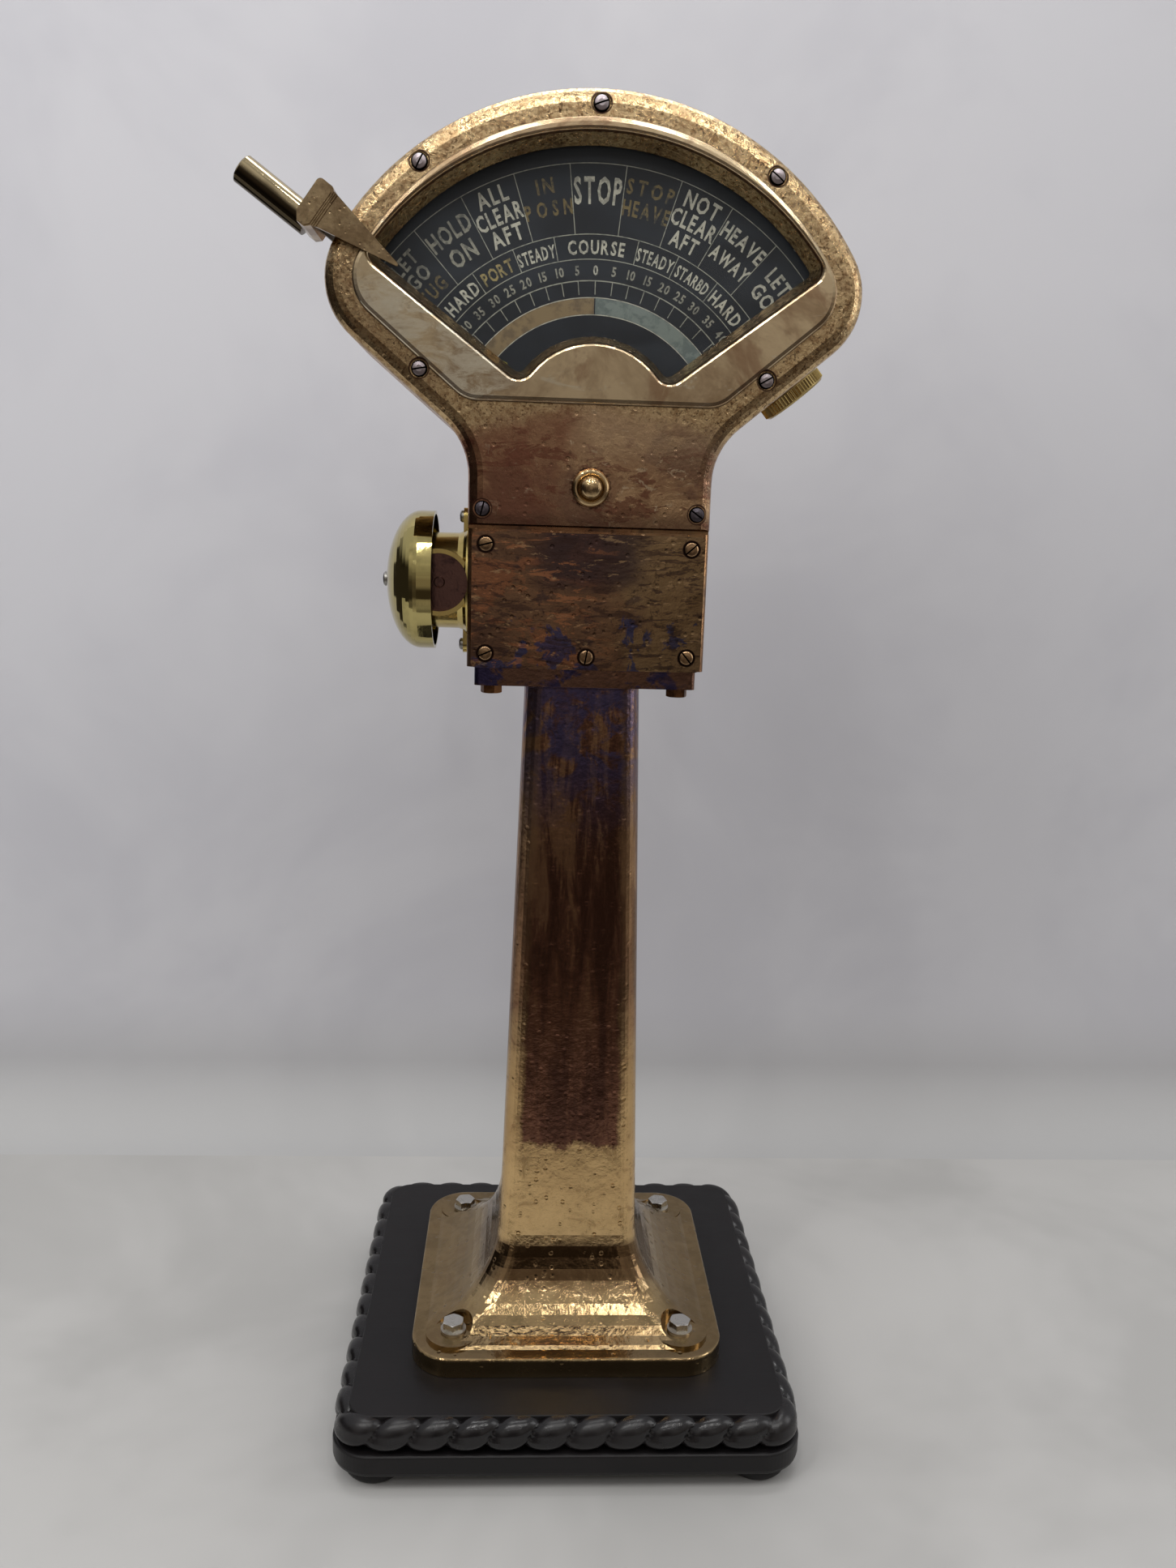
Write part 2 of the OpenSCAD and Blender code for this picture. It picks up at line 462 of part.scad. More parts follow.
// ---------- commutator ----------
module commutator_shaft() color(steel) head() cy(0, 861, -54, 53.5, 5);
module commutator_drum() color([0.55, 0.40, 0.22]) head() difference() {
  union() { cy(0, 861, 18, 53, 20); for (i = [0:4]) cy(0, 861, 21.5 + 6 * i, 25.5 + 6 * i, 22); }
  cy(0, 861, 10, 60, 5);
}
module commutator_pinion() color(bright) head() difference() {
  translate([0, 0, 861]) ext(-31, -21) polygon(gear_line(2, 20, 9));
  cy(0, 861, -40, -10, 5);
}

// ---------- reply pointer ----------
module reply_pointer() color([0.55, 0.52, 0.10]) head() clock(-52) difference() {
  union() {
    cy(0, 0, -80.5, -75, 12);
    ext(-79, -77) polygon([[-9, 0], [9, 0], [4, 96], [7.5, 100], [0, 127], [-7.5, 100], [-4, 96]]);
  }
  cy(0, 0, -85, -70, 5);
}
module pointer_spindle() color(steel) head() cy(0, pv, -81, 40, 5);
module pointer_gear() color(bright) head() difference() {
  translate([0, 0, pv]) ext(32, 38) difference() {
    polygon(gear_line(1.5, 48, 0));
    for (a = [45:90:315]) translate([20 * sin(a), 20 * cos(a)]) circle(r = 7);
  }
  cy(0, pv, 20, 50, 5);
}
module motor_rotor() color(steel) head() { cy(0, 989, -14, 42, 2.5); cy(0, 989, -9, 19, 15); }
module motor_pinion() color(bright) head() difference() {
  translate([0, 0, 989]) ext(31, 39) polygon(gear_line(1.5, 16, 11.25));
  cy(0, 989, 20, 50, 2.5);
}

// ---------- bell hammer ----------
module bell_hammer() color(steel) head() {
  difference() {
    translate([-149, 8, 797]) rotate([0, 90, 0]) cylinder(h = 6, r = 5);
    translate([-155, 8, 797]) rotate([0, 90, 0]) cylinder(h = 20, r = 1.5);
  }
  translate([-146, 8, 797]) rotate([-atan2(28, 32), 0, 0]) translate([0, 0, -42]) cylinder(h = 38, r = 1.6);
  translate([-146, -20, 765]) sphere(r = 4.5);
}

// ---------- push button ----------
module push_button() color(gold) head() translate([0, -97, 905]) rotate([90, 0, 0]) rotate_extrude()
  polygon(concat([[0, -17], [4, -17], [4, 0], [10.6, 0], [10.6, 2.5], [9.48, 2.5], [9.48, 10]], [for (a = [10:10:80]) [9.48 * cos(a), 10 + 6 * sin(a)]], [[0, 16]]));
module button_spring() color(steel) head() difference() { cy(0, 905, -97, -90, 7.5); cy(0, 905, -98, -89, 5.5); }

// ---------- dial lamp ----------
module lamp_holder() color([0.16, 0.10, 0.07]) head() lamp_axis() {
  translate([0, 0, 9.7]) cylinder(h = 1.8, r = 24);
  translate([0, 0, -6]) cylinder(h = 16, r = 13);
}
module lamp_bulb() color([0.95, 0.93, 0.85, 0.5]) head() lamp_axis() {
  translate([0, 0, -14]) cylinder(h = 8, r = 8);
  translate([0, 0, -24]) sphere(r = 12);
}
module lamp_cap() color(gold) head() lamp_axis() difference() {
  union() {
    translate([0, 0, 2.4]) cylinder(h = 10, r = 30.2);
    for (i = [0:59]) rotate(6 * i) translate([30.2, 0, 3.2]) cylinder(h = 8.4, r = 1, $fn = 4);
    translate([0, 0, 12.4]) rotate_extrude() polygon([[0, 0], [30, 0], [28.5, 1.4], [22, 2.1], [0, 2.1]]);
  }
  translate([0, 0, 2]) cylinder(h = 9.5, r = 25);
}

bun_feet();
plinth_board();
base_board();
rope_moulding();
pedestal();
foot_bolts();
foot_washers();
flange_bolts();
housing();
head_cover();
head_cover_screws();
box_cover();
box_cover_screws();
glass_gasket();
window_glass();
glass_retainer();
dial_plate();
dial_screws();
dial_pillars();
bearing_frame();
front_bush();
rear_bush();
index_plate();
brush_holder();
brushes();
motor_case();
lamp_boss();
button_collar();
contact_block();
terminal_block();
terminal_screws();
bell_base();
bell_base_screws();
bell_disc();
bell_coil();
gong_post();
gong();
gong_screw();
lever_arm();
lever_head();
lever_grip();
main_shaft();
sector_gear();
detent_roller();
commutator_shaft();
commutator_drum();
commutator_pinion();
reply_pointer();
pointer_spindle();
pointer_gear();
motor_rotor();
motor_pinion();
bell_hammer();
push_button();
button_spring();
lamp_holder();
lamp_bulb();
lamp_cap();
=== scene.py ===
"""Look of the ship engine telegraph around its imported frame."""
import math

import bmesh
import bpy
from mathutils import Matrix, Vector


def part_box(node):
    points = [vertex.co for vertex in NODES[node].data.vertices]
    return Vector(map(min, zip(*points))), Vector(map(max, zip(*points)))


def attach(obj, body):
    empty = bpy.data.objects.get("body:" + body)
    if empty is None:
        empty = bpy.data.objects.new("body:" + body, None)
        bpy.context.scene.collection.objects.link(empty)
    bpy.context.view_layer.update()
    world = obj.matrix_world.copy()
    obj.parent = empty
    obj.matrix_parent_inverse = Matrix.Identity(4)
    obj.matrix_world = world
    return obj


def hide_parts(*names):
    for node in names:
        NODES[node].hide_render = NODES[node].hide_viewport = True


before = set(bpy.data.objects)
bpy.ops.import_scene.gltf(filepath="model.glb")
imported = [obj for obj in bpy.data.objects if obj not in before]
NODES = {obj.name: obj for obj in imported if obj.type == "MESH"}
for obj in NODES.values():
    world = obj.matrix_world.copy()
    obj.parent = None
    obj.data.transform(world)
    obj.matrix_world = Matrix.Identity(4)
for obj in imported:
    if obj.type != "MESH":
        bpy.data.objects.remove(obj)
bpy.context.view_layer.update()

SCENE = bpy.context.scene
SIN, COS, RAD = math.sin, math.cos, math.radians


# ---------------------------------------------------------------- camera
def camera():
    yaw, pitch, roll = RAD(2.887), RAD(11.857), RAD(1.717)
    d = Vector((SIN(yaw) * COS(pitch), COS(yaw) * COS(pitch), -SIN(pitch)))
    r = Vector((COS(yaw), -SIN(yaw), 0))
    u = r.cross(d)
    right = COS(roll) * r + SIN(roll) * u
    up = -SIN(roll) * r + COS(roll) * u
    m = Matrix((right, up, -d)).transposed().to_4x4()
    m.translation = (-0.05028, -1.20288, 0.87507)
    data = bpy.data.cameras.new("view_camera")
    data.sensor_width = 36
    data.lens = 36 * 1531.66 / 1935
    data.clip_start = 0.01
    o = bpy.data.objects.new("view_camera", data)
    SCENE.collection.objects.link(o)
    o.matrix_world = m
    SCENE.camera = o


camera()


# ---------------------------------------------------------------- material kit
def lin(r, g, b):
    """Linear colour of an 8-bit screen colour."""
    f = lambda v: v / 255 / 12.92 if v <= 10.3 else ((v / 255 + 0.055) / 1.055) ** 2.4
    return (f(r), f(g), f(b), 1.0)


def is_socket(v):
    return isinstance(v, bpy.types.NodeSocket)


class Mat:
    """A small writer of node materials. Its coordinates are the frame's metres."""

    def __init__(self, name, **sockets):
        self.m = bpy.data.materials.new(name)
        self.m.use_nodes = True
        self.t = self.m.node_tree
        self.p = next(n for n in self.t.nodes if n.type == "BSDF_PRINCIPLED")
        self.co = self.new("ShaderNodeTexCoord").outputs["Object"]
        s = self.new("ShaderNodeSeparateXYZ")
        self.put(s.inputs[0], self.co)
        self.x, self.y, self.z = s.outputs
        for k, v in sockets.items():
            self.set(k, v)

    def new(self, kind, **props):
        n = self.t.nodes.new(kind)
        for k, v in props.items():
            setattr(n, k, v)
        return n

    def put(self, socket, v):
        if is_socket(v):
            self.t.links.new(v, socket)
        else:
            socket.default_value = v

    def set(self, name, v):
        self.put(self.p.inputs[name.replace("_", " ")], v)

    def math(self, op, a, b=0.0, clamp=False):
        n = self.new("ShaderNodeMath", operation=op, use_clamp=clamp)
        self.put(n.inputs[0], a)
        self.put(n.inputs[1], b)
        return n.outputs[0]

    def add(self, a, b):
        return self.math("ADD", a, b)

    def mul(self, a, b):
        return self.math("MULTIPLY", a, b)

    def step(self, v, a, b, c=0.0, d=1.0):
        """Smooth step of v from a to b, giving c to d."""
        n = self.new("ShaderNodeMapRange", interpolation_type="SMOOTHSTEP")
        for i, q in enumerate((v, a, b, c, d)):
            self.put(n.inputs[i], q)
        return n.outputs[0]

    def noise(self, scale, detail=4.0, rough=0.55, warp=0.0, vec=None, stretch=None):
        v = self.co if vec is None else vec
        if stretch:
            mp = self.new("ShaderNodeMapping")
            self.put(mp.inputs["Vector"], v)
            mp.inputs["Scale"].default_value = stretch
            v = mp.outputs[0]
        n = self.new("ShaderNodeTexNoise")
        self.put(n.inputs["Vector"], v)
        n.inputs["Scale"].default_value = scale
        n.inputs["Detail"].default_value = detail
        n.inputs["Roughness"].default_value = rough
        n.inputs["Distortion"].default_value = warp
        return n.outputs[0]

    def cells(self, scale, feature="F1", spread=1.0):
        n = self.new("ShaderNodeTexVoronoi", feature=feature)
        self.put(n.inputs["Vector"], self.co)
        n.inputs["Scale"].default_value = scale
        n.inputs["Randomness"].default_value = spread
        return n.outputs["Distance"]

    def mix(self, f, a, b):
        n = self.new("ShaderNodeMix", data_type="RGBA")
        self.put(n.inputs[0], f)
        self.put(n.inputs[6], a)
        self.put(n.inputs[7], b)
        return n.outputs[2]

    def blend(self, f, a, b):
        n = self.new("ShaderNodeMix", data_type="FLOAT")
        self.put(n.inputs[0], f)
        self.put(n.inputs[2], a)
        self.put(n.inputs[3], b)
        return n.outputs[0]

    def bump(self, height, depth, normal=None):
        """Bump of depth metres for a height that runs from 0 to 1."""
        n = self.new("ShaderNodeBump")
        n.inputs["Strength"].default_value = 1.0
        n.inputs["Distance"].default_value = depth
        self.put(n.inputs["Height"], height)
        if normal is not None:
            self.put(n.inputs["Normal"], normal)
        return n.outputs[0]

    def pits(self, scale, size, share):
        """1 inside scattered round pits, and 0 elsewhere."""
        n = self.new("ShaderNodeTexVoronoi")
        self.put(n.inputs["Vector"], self.co)
        n.inputs["Scale"].default_value = scale
        s = self.new("ShaderNodeSeparateColor")
        self.put(s.inputs[0], n.outputs["Color"])
        chosen = self.math("LESS_THAN", s.outputs[0], share)
        return self.mul(self.step(n.outputs["Distance"], size, size * 0.35), chosen)


GOLD = lin(222, 188, 134)
PALE = lin(238, 216, 170)
TAN = lin(176, 142, 106)
BROWN = lin(116, 84, 60)
RED = lin(116, 70, 56)
UMBER = lin(66, 48, 38)
VIOLET = lin(62, 56, 84)
BLACKISH = lin(32, 24, 24)


def hammered(k, coarse=0.00045, fine=0.00012, pit=0.0003, n1=None):
    """Rough cast skin, buffed on top: coarse swell, fine grain and pits."""
    a = k.noise(75, 2.0, 0.5) if n1 is None else n1
    b = k.noise(330, 4.0, 0.62)
    q = k.pits(150, 0.34, 0.30)
    n = k.bump(a, coarse)
    n = k.bump(b, fine, n)
    n = k.bump(k.math("SUBTRACT", 1.0, q), pit, n)
    return n, a, b, q


def cast_pedestal():
    k = Mat("cast_brass_pedestal", Metallic=1.0)
    big = k.noise(7, 6.0, 0.62, 0.5)
    mid = k.noise(34, 7.0, 0.68, 0.6)
    streak = k.noise(34, 7.0, 0.70, 0.3, stretch=(1.7, 1.7, 0.24))
    grain = k.noise(150, 6.0, 0.75)
    ax, ay = k.math("ABSOLUTE", k.x), k.math("ABSOLUTE", k.y)
    near = k.math("MINIMUM", ax, ay)
    # the column's half-width at this height, and how near the corner round is
    half = k.math("SUBTRACT", 0.07418, k.mul(k.z, 0.0276))
    edge = k.math("SUBTRACT", half, near)
    edge = k.add(edge, k.mul(k.math("SUBTRACT", mid, 0.5), 0.012))
    corner = k.mul(k.step(edge, 0.0205, 0.0150), k.step(k.add(k.z, k.mul(k.math("SUBTRACT", mid, 0.5), 0.10)), 0.44, 0.31, 0.22, 1.0))
    rag = k.mul(k.math("SUBTRACT", k.noise(60, 7.0, 0.75), 0.5), 0.060)
    # painted reflection and patina: above z 0.27 the column's faces are painted dark brown, partly real patina and
    # partly a painted reflection of the dark room in front; the corner rounds keep their gold
    low = k.step(k.add(k.z, rag), 0.262, 0.272)
    dark = k.mul(low, k.math("SUBTRACT", 1.0, k.mul(corner, 0.9)))
    # worn gold streaks through the dark face, more of them higher up
    worn = k.step(k.add(streak, k.mul(k.step(k.z, 0.40, 0.60), 0.08)), 0.56, 0.63)
    worn = k.mul(worn, k.step(k.z, 0.33, 0.52))
    spots = k.mul(k.step(grain, 0.62, 0.68), k.step(k.add(k.z, k.mul(big, 0.2)), 0.44, 0.62))
    face = k.mix(k.step(streak, 0.42, 0.60), lin(106, 74, 60), lin(144, 102, 80))
    face = k.mix(k.mul(worn, 0.42), face, lin(184, 150, 112))
    face = k.mix(k.mul(spots, 0.38), face, lin(206, 176, 132))
    top = k.mul(k.step(k.z, 0.56, 0.68), k.step(mid, 0.40, 0.54))
    face = k.mix(k.mul(top, 0.85), face, lin(84, 82, 122))
    body = k.mix(k.step(big, 0.40, 0.62), GOLD, lin(200, 166, 116))
    body = k.mix(k.mul(k.step(mid, 0.55, 0.64), 0.45), body, lin(150, 116, 80))
    body = k.mix(k.mul(k.step(grain, 0.58, 0.66), 0.55), body, lin(106, 76, 52))
    body = k.mix(k.mul(k.step(k.z, 0.60, 0.715), 0.6), body, BROWN)
    # brown stain that runs over the flange's sides
    wash = k.mul(k.step(k.noise(15, 6.0, 0.65, 1.2), 0.52, 0.60), k.step(k.z, 0.115, 0.100))
    body = k.mix(k.mul(wash, 0.5), body, lin(150, 118, 86))
    foot = k.step(k.z, 0.190, 0.120)
    body = k.mix(k.mul(foot, 0.65), body, k.mix(k.step(mid, 0.42, 0.62), lin(190, 170, 134), lin(154, 134, 102)))
    # painted shade: a darker band painted in the hollow where the column meets its foot, standing in for the dark
    # reflection there
    painted_hollow_shade = k.mul(k.step(k.add(k.z, k.mul(rag, 0.34)), 0.108, 0.132), k.step(k.add(k.z, k.mul(rag, 0.30)), 0.166, 0.158))
    body = k.mix(k.mul(painted_hollow_shade, 0.78), body, lin(84, 60, 42))
    # painted shade: the lower part of the hollow foot is painted darker, more so in places
    hollow = k.mul(k.step(k.z, 0.125, 0.105), k.step(k.z, 0.0715, 0.078))
    body = k.mix(k.mul(hollow, k.blend(k.step(mid, 0.40, 0.60), 0.75, 0.40)), body, lin(122, 102, 70))
    colour = k.mix(dark, body, face)
    head = k.mul(k.step(k.z, 0.722, 0.730), k.step(mid, 0.30, 0.52, 0.55, 1.0))
    patch = k.mix(k.step(k.noise(22, 6.0, 0.68, 0.6), 0.48, 0.54), lin(122, 92, 76), lin(70, 64, 98))
    colour = k.mix(head, colour, patch)
    side = k.mul(k.step(k.z, 0.0875, 0.0855), k.step(k.math("MAXIMUM", ax, ay), 0.1500, 0.1515))
    colour = k.mix(k.mul(side, 0.6), colour, lin(118, 98, 70))
    k.set("Base Color", colour)
    r = k.blend(k.step(mid, 0.35, 0.70), 0.14, 0.32)
    # the hollow at the foot is the most polished
    r = k.mul(r, k.step(k.z, 0.165, 0.145, 1.0, k.step(k.z, 0.076, 0.090, 1.0, 0.50)))
    k.set("Roughness", k.blend(dark, r, k.blend(streak, 0.16, 0.30)))
    n = k.bump(k.noise(70, 2.0, 0.5), 0.00050)
    n = k.bump(k.noise(230, 3.0, 0.62), 0.00020, n)
    n = k.bump(k.mul(grain, k.step(k.z, 0.15, 0.19, 0.25, 1.0)), 0.00030, n)
    n = k.bump(k.math("SUBTRACT", 1.0, k.mul(k.pits(120, 0.34, 0.32), k.blend(dark, 1.0, 0.40))), 0.0004, n)
    k.set("Normal", n)
    return k.m


def cast_case():
    k = Mat("cast_brass_case", Metallic=1.0)
    big = k.noise(8, 5.0, 0.6, 0.4)
    mid = k.noise(36, 6.0, 0.65, 0.5)
    speck = k.noise(170, 5.0, 0.7)
    c = k.mix(k.step(big, 0.36, 0.62), lin(204, 168, 118), lin(152, 116, 82))
    c = k.mix(k.mul(k.step(mid, 0.52, 0.70), 0.7), c, BROWN)
    c = k.mix(k.mul(k.step(speck, 0.58, 0.72), 0.6), c, UMBER)
    low = k.step(k.z, 0.90, 0.86)
    c = k.mix(k.mul(low, 0.55), c, k.mix(k.step(mid, 0.42, 0.6), RED, lin(84, 66, 68)))
    k.set("Base Color", c)
    k.set("Roughness", k.blend(k.step(mid, 0.3, 0.75), 0.20, 0.42))
    n, *_ = hammered(k, 0.0007, 0.00028, 0.0003)
    k.set("Normal", n)
    return k.m


def painted_shade_rings(k, spots, y, r0, r1):
    """1 in rings of painted shade round screws at spots, on faces near y."""
    at = k.new("ShaderNodeCombineXYZ")
    k.put(at.inputs[0], k.x)
    k.put(at.inputs[2], k.z)
    best = None
    for x, z in spots:
        d = k.new("ShaderNodeVectorMath", operation="DISTANCE")
        k.put(d.inputs[0], at.outputs[0])
        d.inputs[1].default_value = (x, 0, z)
        best = d.outputs["Value"] if best is None else k.math("MINIMUM", best, d.outputs["Value"])
    return k.mul(k.step(best, r1, r0), k.step(k.y, y + 0.004, y + 0.002))


HEAD_SPOTS = [(0, 1.211), (-0.148, 1.161), (0.148, 1.161), (-0.148, 0.999), (0.148, 0.999), (-0.0935, 0.885), (0.0935, 0.885)]
BOX_SPOTS = [(-0.090, 0.855), (0.090, 0.855), (-0.0895, 0.760), (0.0895, 0.760), (0, 0.7585)]


def cast_cover():
    k = Mat("cover_brass", Metallic=1.0)
    big = k.noise(8, 6.0, 0.62, 0.6)
    mid = k.noise(38, 7.0, 0.70, 0.6)
    fine = k.noise(190, 6.0, 0.75)
    flake = k.noise(52, 7.0, 0.72, 0.8, stretch=(0.55, 1.0, 1.5))
    bezel = k.step(k.y, -0.1030, -0.1048)
    groove = k.mul(k.step(k.y, -0.1008, -0.1014), k.step(k.y, -0.1046, -0.1034))
    rise = k.add(k.z, k.mul(k.math("ABSOLUTE", k.x), 0.25))
    neck = k.step(k.add(rise, k.mul(k.math("SUBTRACT", mid, 0.5), 0.05)), 0.990, 0.965)
    neck = k.mul(neck, k.math("SUBTRACT", 1.0, bezel))
    # hammered band: bright high spots, brown hollows
    band = k.mix(k.step(fine, 0.44, 0.62), lin(226, 198, 152), lin(176, 144, 104))
    band = k.mix(k.mul(k.step(mid, 0.50, 0.66), 0.45), band, lin(136, 106, 76))
    speck = k.noise(420, 3.0, 0.6)
    band = k.mix(k.mul(k.step(speck, 0.57, 0.62), 0.75), band, lin(92, 68, 46))
    # painted shade: the left flank is painted darker than the arch, as that side lies in shade
    painted_left_shade = k.mul(k.step(k.x, -0.10, -0.16), k.step(k.z, 1.13, 1.07))
    band = k.mix(k.mul(painted_left_shade, 0.35), band, lin(128, 102, 74))
    smooth = k.mix(k.step(big, 0.42, 0.58), lin(212, 192, 158), lin(166, 142, 112))
    smooth = k.mix(k.mul(k.step(mid, 0.55, 0.68), 0.40), smooth, lin(140, 112, 88))
    smooth = k.mix(k.mul(k.step(flake, 0.58, 0.64), 0.40), smooth, lin(216, 212, 194))
    smooth = k.mix(k.mul(k.step(k.noise(15, 4.0, 0.6, 1.0), 0.55, 0.64), 0.50), smooth, lin(146, 110, 84))
    # painted sheen: the left bar is painted pale in flecks where it shows a sheen
    painted_sheen = k.mul(k.step(k.x, -0.055, -0.085), k.step(k.z, 1.09, 1.05))
    smooth = k.mix(k.mul(k.mul(painted_sheen, k.step(flake, 0.36, 0.56)), 0.65), smooth, lin(238, 232, 212))
    skin = k.mix(k.step(mid, 0.42, 0.58), lin(212, 176, 136), lin(170, 134, 102))
    skin = k.mix(k.mul(k.step(big, 0.48, 0.56), 0.75), skin, lin(128, 96, 80))
    skin = k.mix(k.mul(k.step(flake, 0.53, 0.58), 0.75), skin, lin(126, 80, 64))
    skin = k.mix(k.mul(k.step(k.noise(70, 6.0, 0.7, 1.0, stretch=(0.8, 1, 1.2)), 0.60, 0.64), 0.6), skin, lin(232, 210, 176))
    skin = k.mix(k.mul(k.step(fine, 0.58, 0.66), 0.55), skin, UMBER)
    skin = k.mix(k.mul(k.step(k.add(k.x, k.mul(k.math("SUBTRACT", big, 0.5), 0.16)), -0.012, -0.040), 0.55), skin, lin(134, 84, 68))
    skin = k.mix(k.mul(k.mul(k.step(k.x, -0.03, 0.01), k.step(k.z, 0.915, 0.950)), 0.35), skin, lin(226, 200, 164))
    foot = k.step(k.add(k.z, k.mul(k.math("SUBTRACT", mid, 0.5), 0.03)), 0.889, 0.876)
    skin = k.mix(k.mul(foot, 0.6), skin, lin(92, 66, 54))
    c = k.mix(bezel, k.mix(neck, band, skin), smooth)
    # painted shade: dark rings painted round the screw heads in their counterbores; the groove's wall is painted dark
    # as well
    dirt_and_painted_shade = k.math("MAXIMUM", k.mul(groove, 0.9), painted_shade_rings(k, HEAD_SPOTS, -0.101, 0.0084, 0.0098))
    # painted shade in the corner round the push button's collar
    dirt_and_painted_shade = k.math("MAXIMUM", dirt_and_painted_shade, k.mul(painted_shade_rings(k, [(0, 0.905)], -0.101, 0.0168, 0.0215), k.step(fine, 0.35, 0.60)))
    c = k.mix(dirt_and_painted_shade, c, lin(62, 40, 32))
    k.set("Base Color", c)
    r = k.blend(k.step(mid, 0.35, 0.70), 0.13, 0.34)
    r = k.blend(bezel, r, k.blend(big, 0.16, 0.30))
    k.set("Roughness", k.blend(dirt_and_painted_shade, r, 0.5))
    plain = k.math("SUBTRACT", 1.0, bezel)
    # the arch keeps its rough cast skin, the flanks are buffed smoother
    arch = k.step(k.z, 1.03, 1.10, 0.55, 1.0)
    hammer = k.mul(k.noise(95, 2.0, 0.5), k.mul(plain, k.blend(neck, arch, 0.40)))
    n = k.bump(hammer, 0.00050)
    n = k.bump(k.mul(k.noise(300, 4.0, 0.66), k.blend(bezel, k.blend(neck, arch, 0.40), 0.06)), 0.00050, n)
    n = k.bump(k.mul(flake, k.mul(neck, plain)), 0.00022, n)
    q = k.mul(k.pits(140, 0.32, 0.30), k.blend(bezel, 1.0, 0.15))
    n = k.bump(k.math("SUBTRACT", 1.0, q), 0.00018, n)
    k.set("Normal", n)
    return k.m


def box_brass():
    """Browned plate: broad worn patches, blue stain low down, fine cast pits."""
    k = Mat("box_brass", Metallic=1.0)
    big = k.noise(9, 5.0, 0.58, 0.7)
    patch = k.noise(22, 6.0, 0.62, 0.8, stretch=(0.62, 1.0, 1.35))
    edge = k.noise(95, 5.0, 0.66, 0.3, stretch=(0.55, 1.0, 1.4))
    fine = k.noise(240, 5.0, 0.7)
    rag = k.mul(k.math("SUBTRACT", edge, 0.5), 0.16)
    c = k.mix(k.step(big, 0.42, 0.58), lin(112, 86, 70), lin(136, 106, 82))
    # copper-brown wear on the left and in the middle
    left = k.step(k.x, 0.045, -0.02)
    c = k.mix(k.mul(k.mul(k.step(k.add(patch, rag), 0.50, 0.57), left), 0.75), c, lin(164, 112, 82))
    # brassy right side
    right = k.step(k.add(k.x, k.mul(k.math("SUBTRACT", patch, 0.5), 0.12)), 0.010, 0.050)
    c = k.mix(k.mul(right, 0.70), c, lin(168, 142, 106))
    # dark film across the upper middle
    dx = k.math("ABSOLUTE", k.add(k.x, -0.002))
    film = k.mul(k.step(k.add(dx, k.mul(rag, 0.25)), 0.060, 0.030), k.step(k.add(k.z, k.mul(rag, 0.12)), 0.812, 0.830))
    film = k.math("MAXIMUM", film, k.mul(k.step(k.add(k.noise(30, 5.0, 0.6, 0.5), rag), 0.60, 0.66), 0.8))
    c = k.mix(k.mul(film, 0.80), c, lin(74, 62, 66))
    low = k.step(k.z, 0.800, 0.765)
    blue = k.step(k.add(k.add(k.noise(34, 4.0, 0.6, 0.5), k.mul(low, 0.13)), k.mul(rag, 0.8)), 0.62, 0.66)
    c = k.mix(k.mul(k.mul(blue, k.step(k.z, 0.806, 0.788)), 0.80), c, lin(62, 72, 116))
    fleck = k.noise(70, 6.0, 0.72, 0.6, stretch=(0.42, 1.0, 1.7))
    c = k.mix(k.mul(k.step(fleck, 0.53, 0.57), 0.70), c, lin(78, 60, 56))
    c = k.mix(k.mul(k.mul(k.step(fleck, 0.44, 0.40), left), 0.55), c, lin(206, 142, 100))
    c = k.mix(k.mul(k.step(fine, 0.57, 0.66), 0.55), c, lin(50, 38, 34))
    c = k.mix(k.mul(k.step(edge, 0.40, 0.34), 0.45), c, lin(222, 188, 144))
    # painted shade: dark rings round the box screws in their counterbores
    c = k.mix(painted_shade_rings(k, BOX_SPOTS, -0.102, 0.0075, 0.0086), c, lin(44, 30, 26))
    k.set("Base Color", c)
    k.set("Roughness", k.blend(k.step(patch, 0.3, 0.7), 0.12, 0.26))
    n = k.bump(k.noise(36, 3.0, 0.5, 0.2, stretch=(0.7, 1, 1.3)), 0.0006)
    n = k.bump(edge, 0.00020, n)
    n = k.bump(fine, 0.00014, n)
    n = k.bump(k.math("SUBTRACT", 1.0, k.pits(150, 0.34, 0.26)), 0.0002, n)
    k.set("Normal", n)
    return k.m


def polished(name, colour, shade, rough=0.07, scratch=0.00002, grime=0.35, under=0.0):
    """Buffed brass with a few fine scratches and darker film in places, and painted shade on its downward faces."""
    k = Mat(name, Metallic=1.0)
    film = k.noise(28, 5.0, 0.6, 0.5)
    lines = k.noise(420, 2.0, 0.5, 0.0, stretch=(1.0, 1.0, 0.08))
    c = k.mix(k.mul(k.step(film, 0.52, 0.72), grime), colour, shade)
    if under:
        # painted shade: faces that look down are painted dark, by the amount under
        side = k.new("ShaderNodeSeparateXYZ")
        k.put(side.inputs[0], k.new("ShaderNodeTexCoord").outputs["Normal"])
        low = k.step(k.add(side.outputs["Z"], k.mul(k.math("SUBTRACT", film, 0.5), 0.5)), 0.30, -0.10)
        c = k.mix(k.mul(low, under), c, lin(46, 36, 26))
    k.set("Base Color", c)
    k.set("Roughness", k.blend(k.step(film, 0.35, 0.75), rough, rough + 0.10))
    n = k.bump(k.noise(40, 2.0, 0.5), 0.00008)
    k.set("Normal", k.bump(lines, scratch, n))
    return k.m


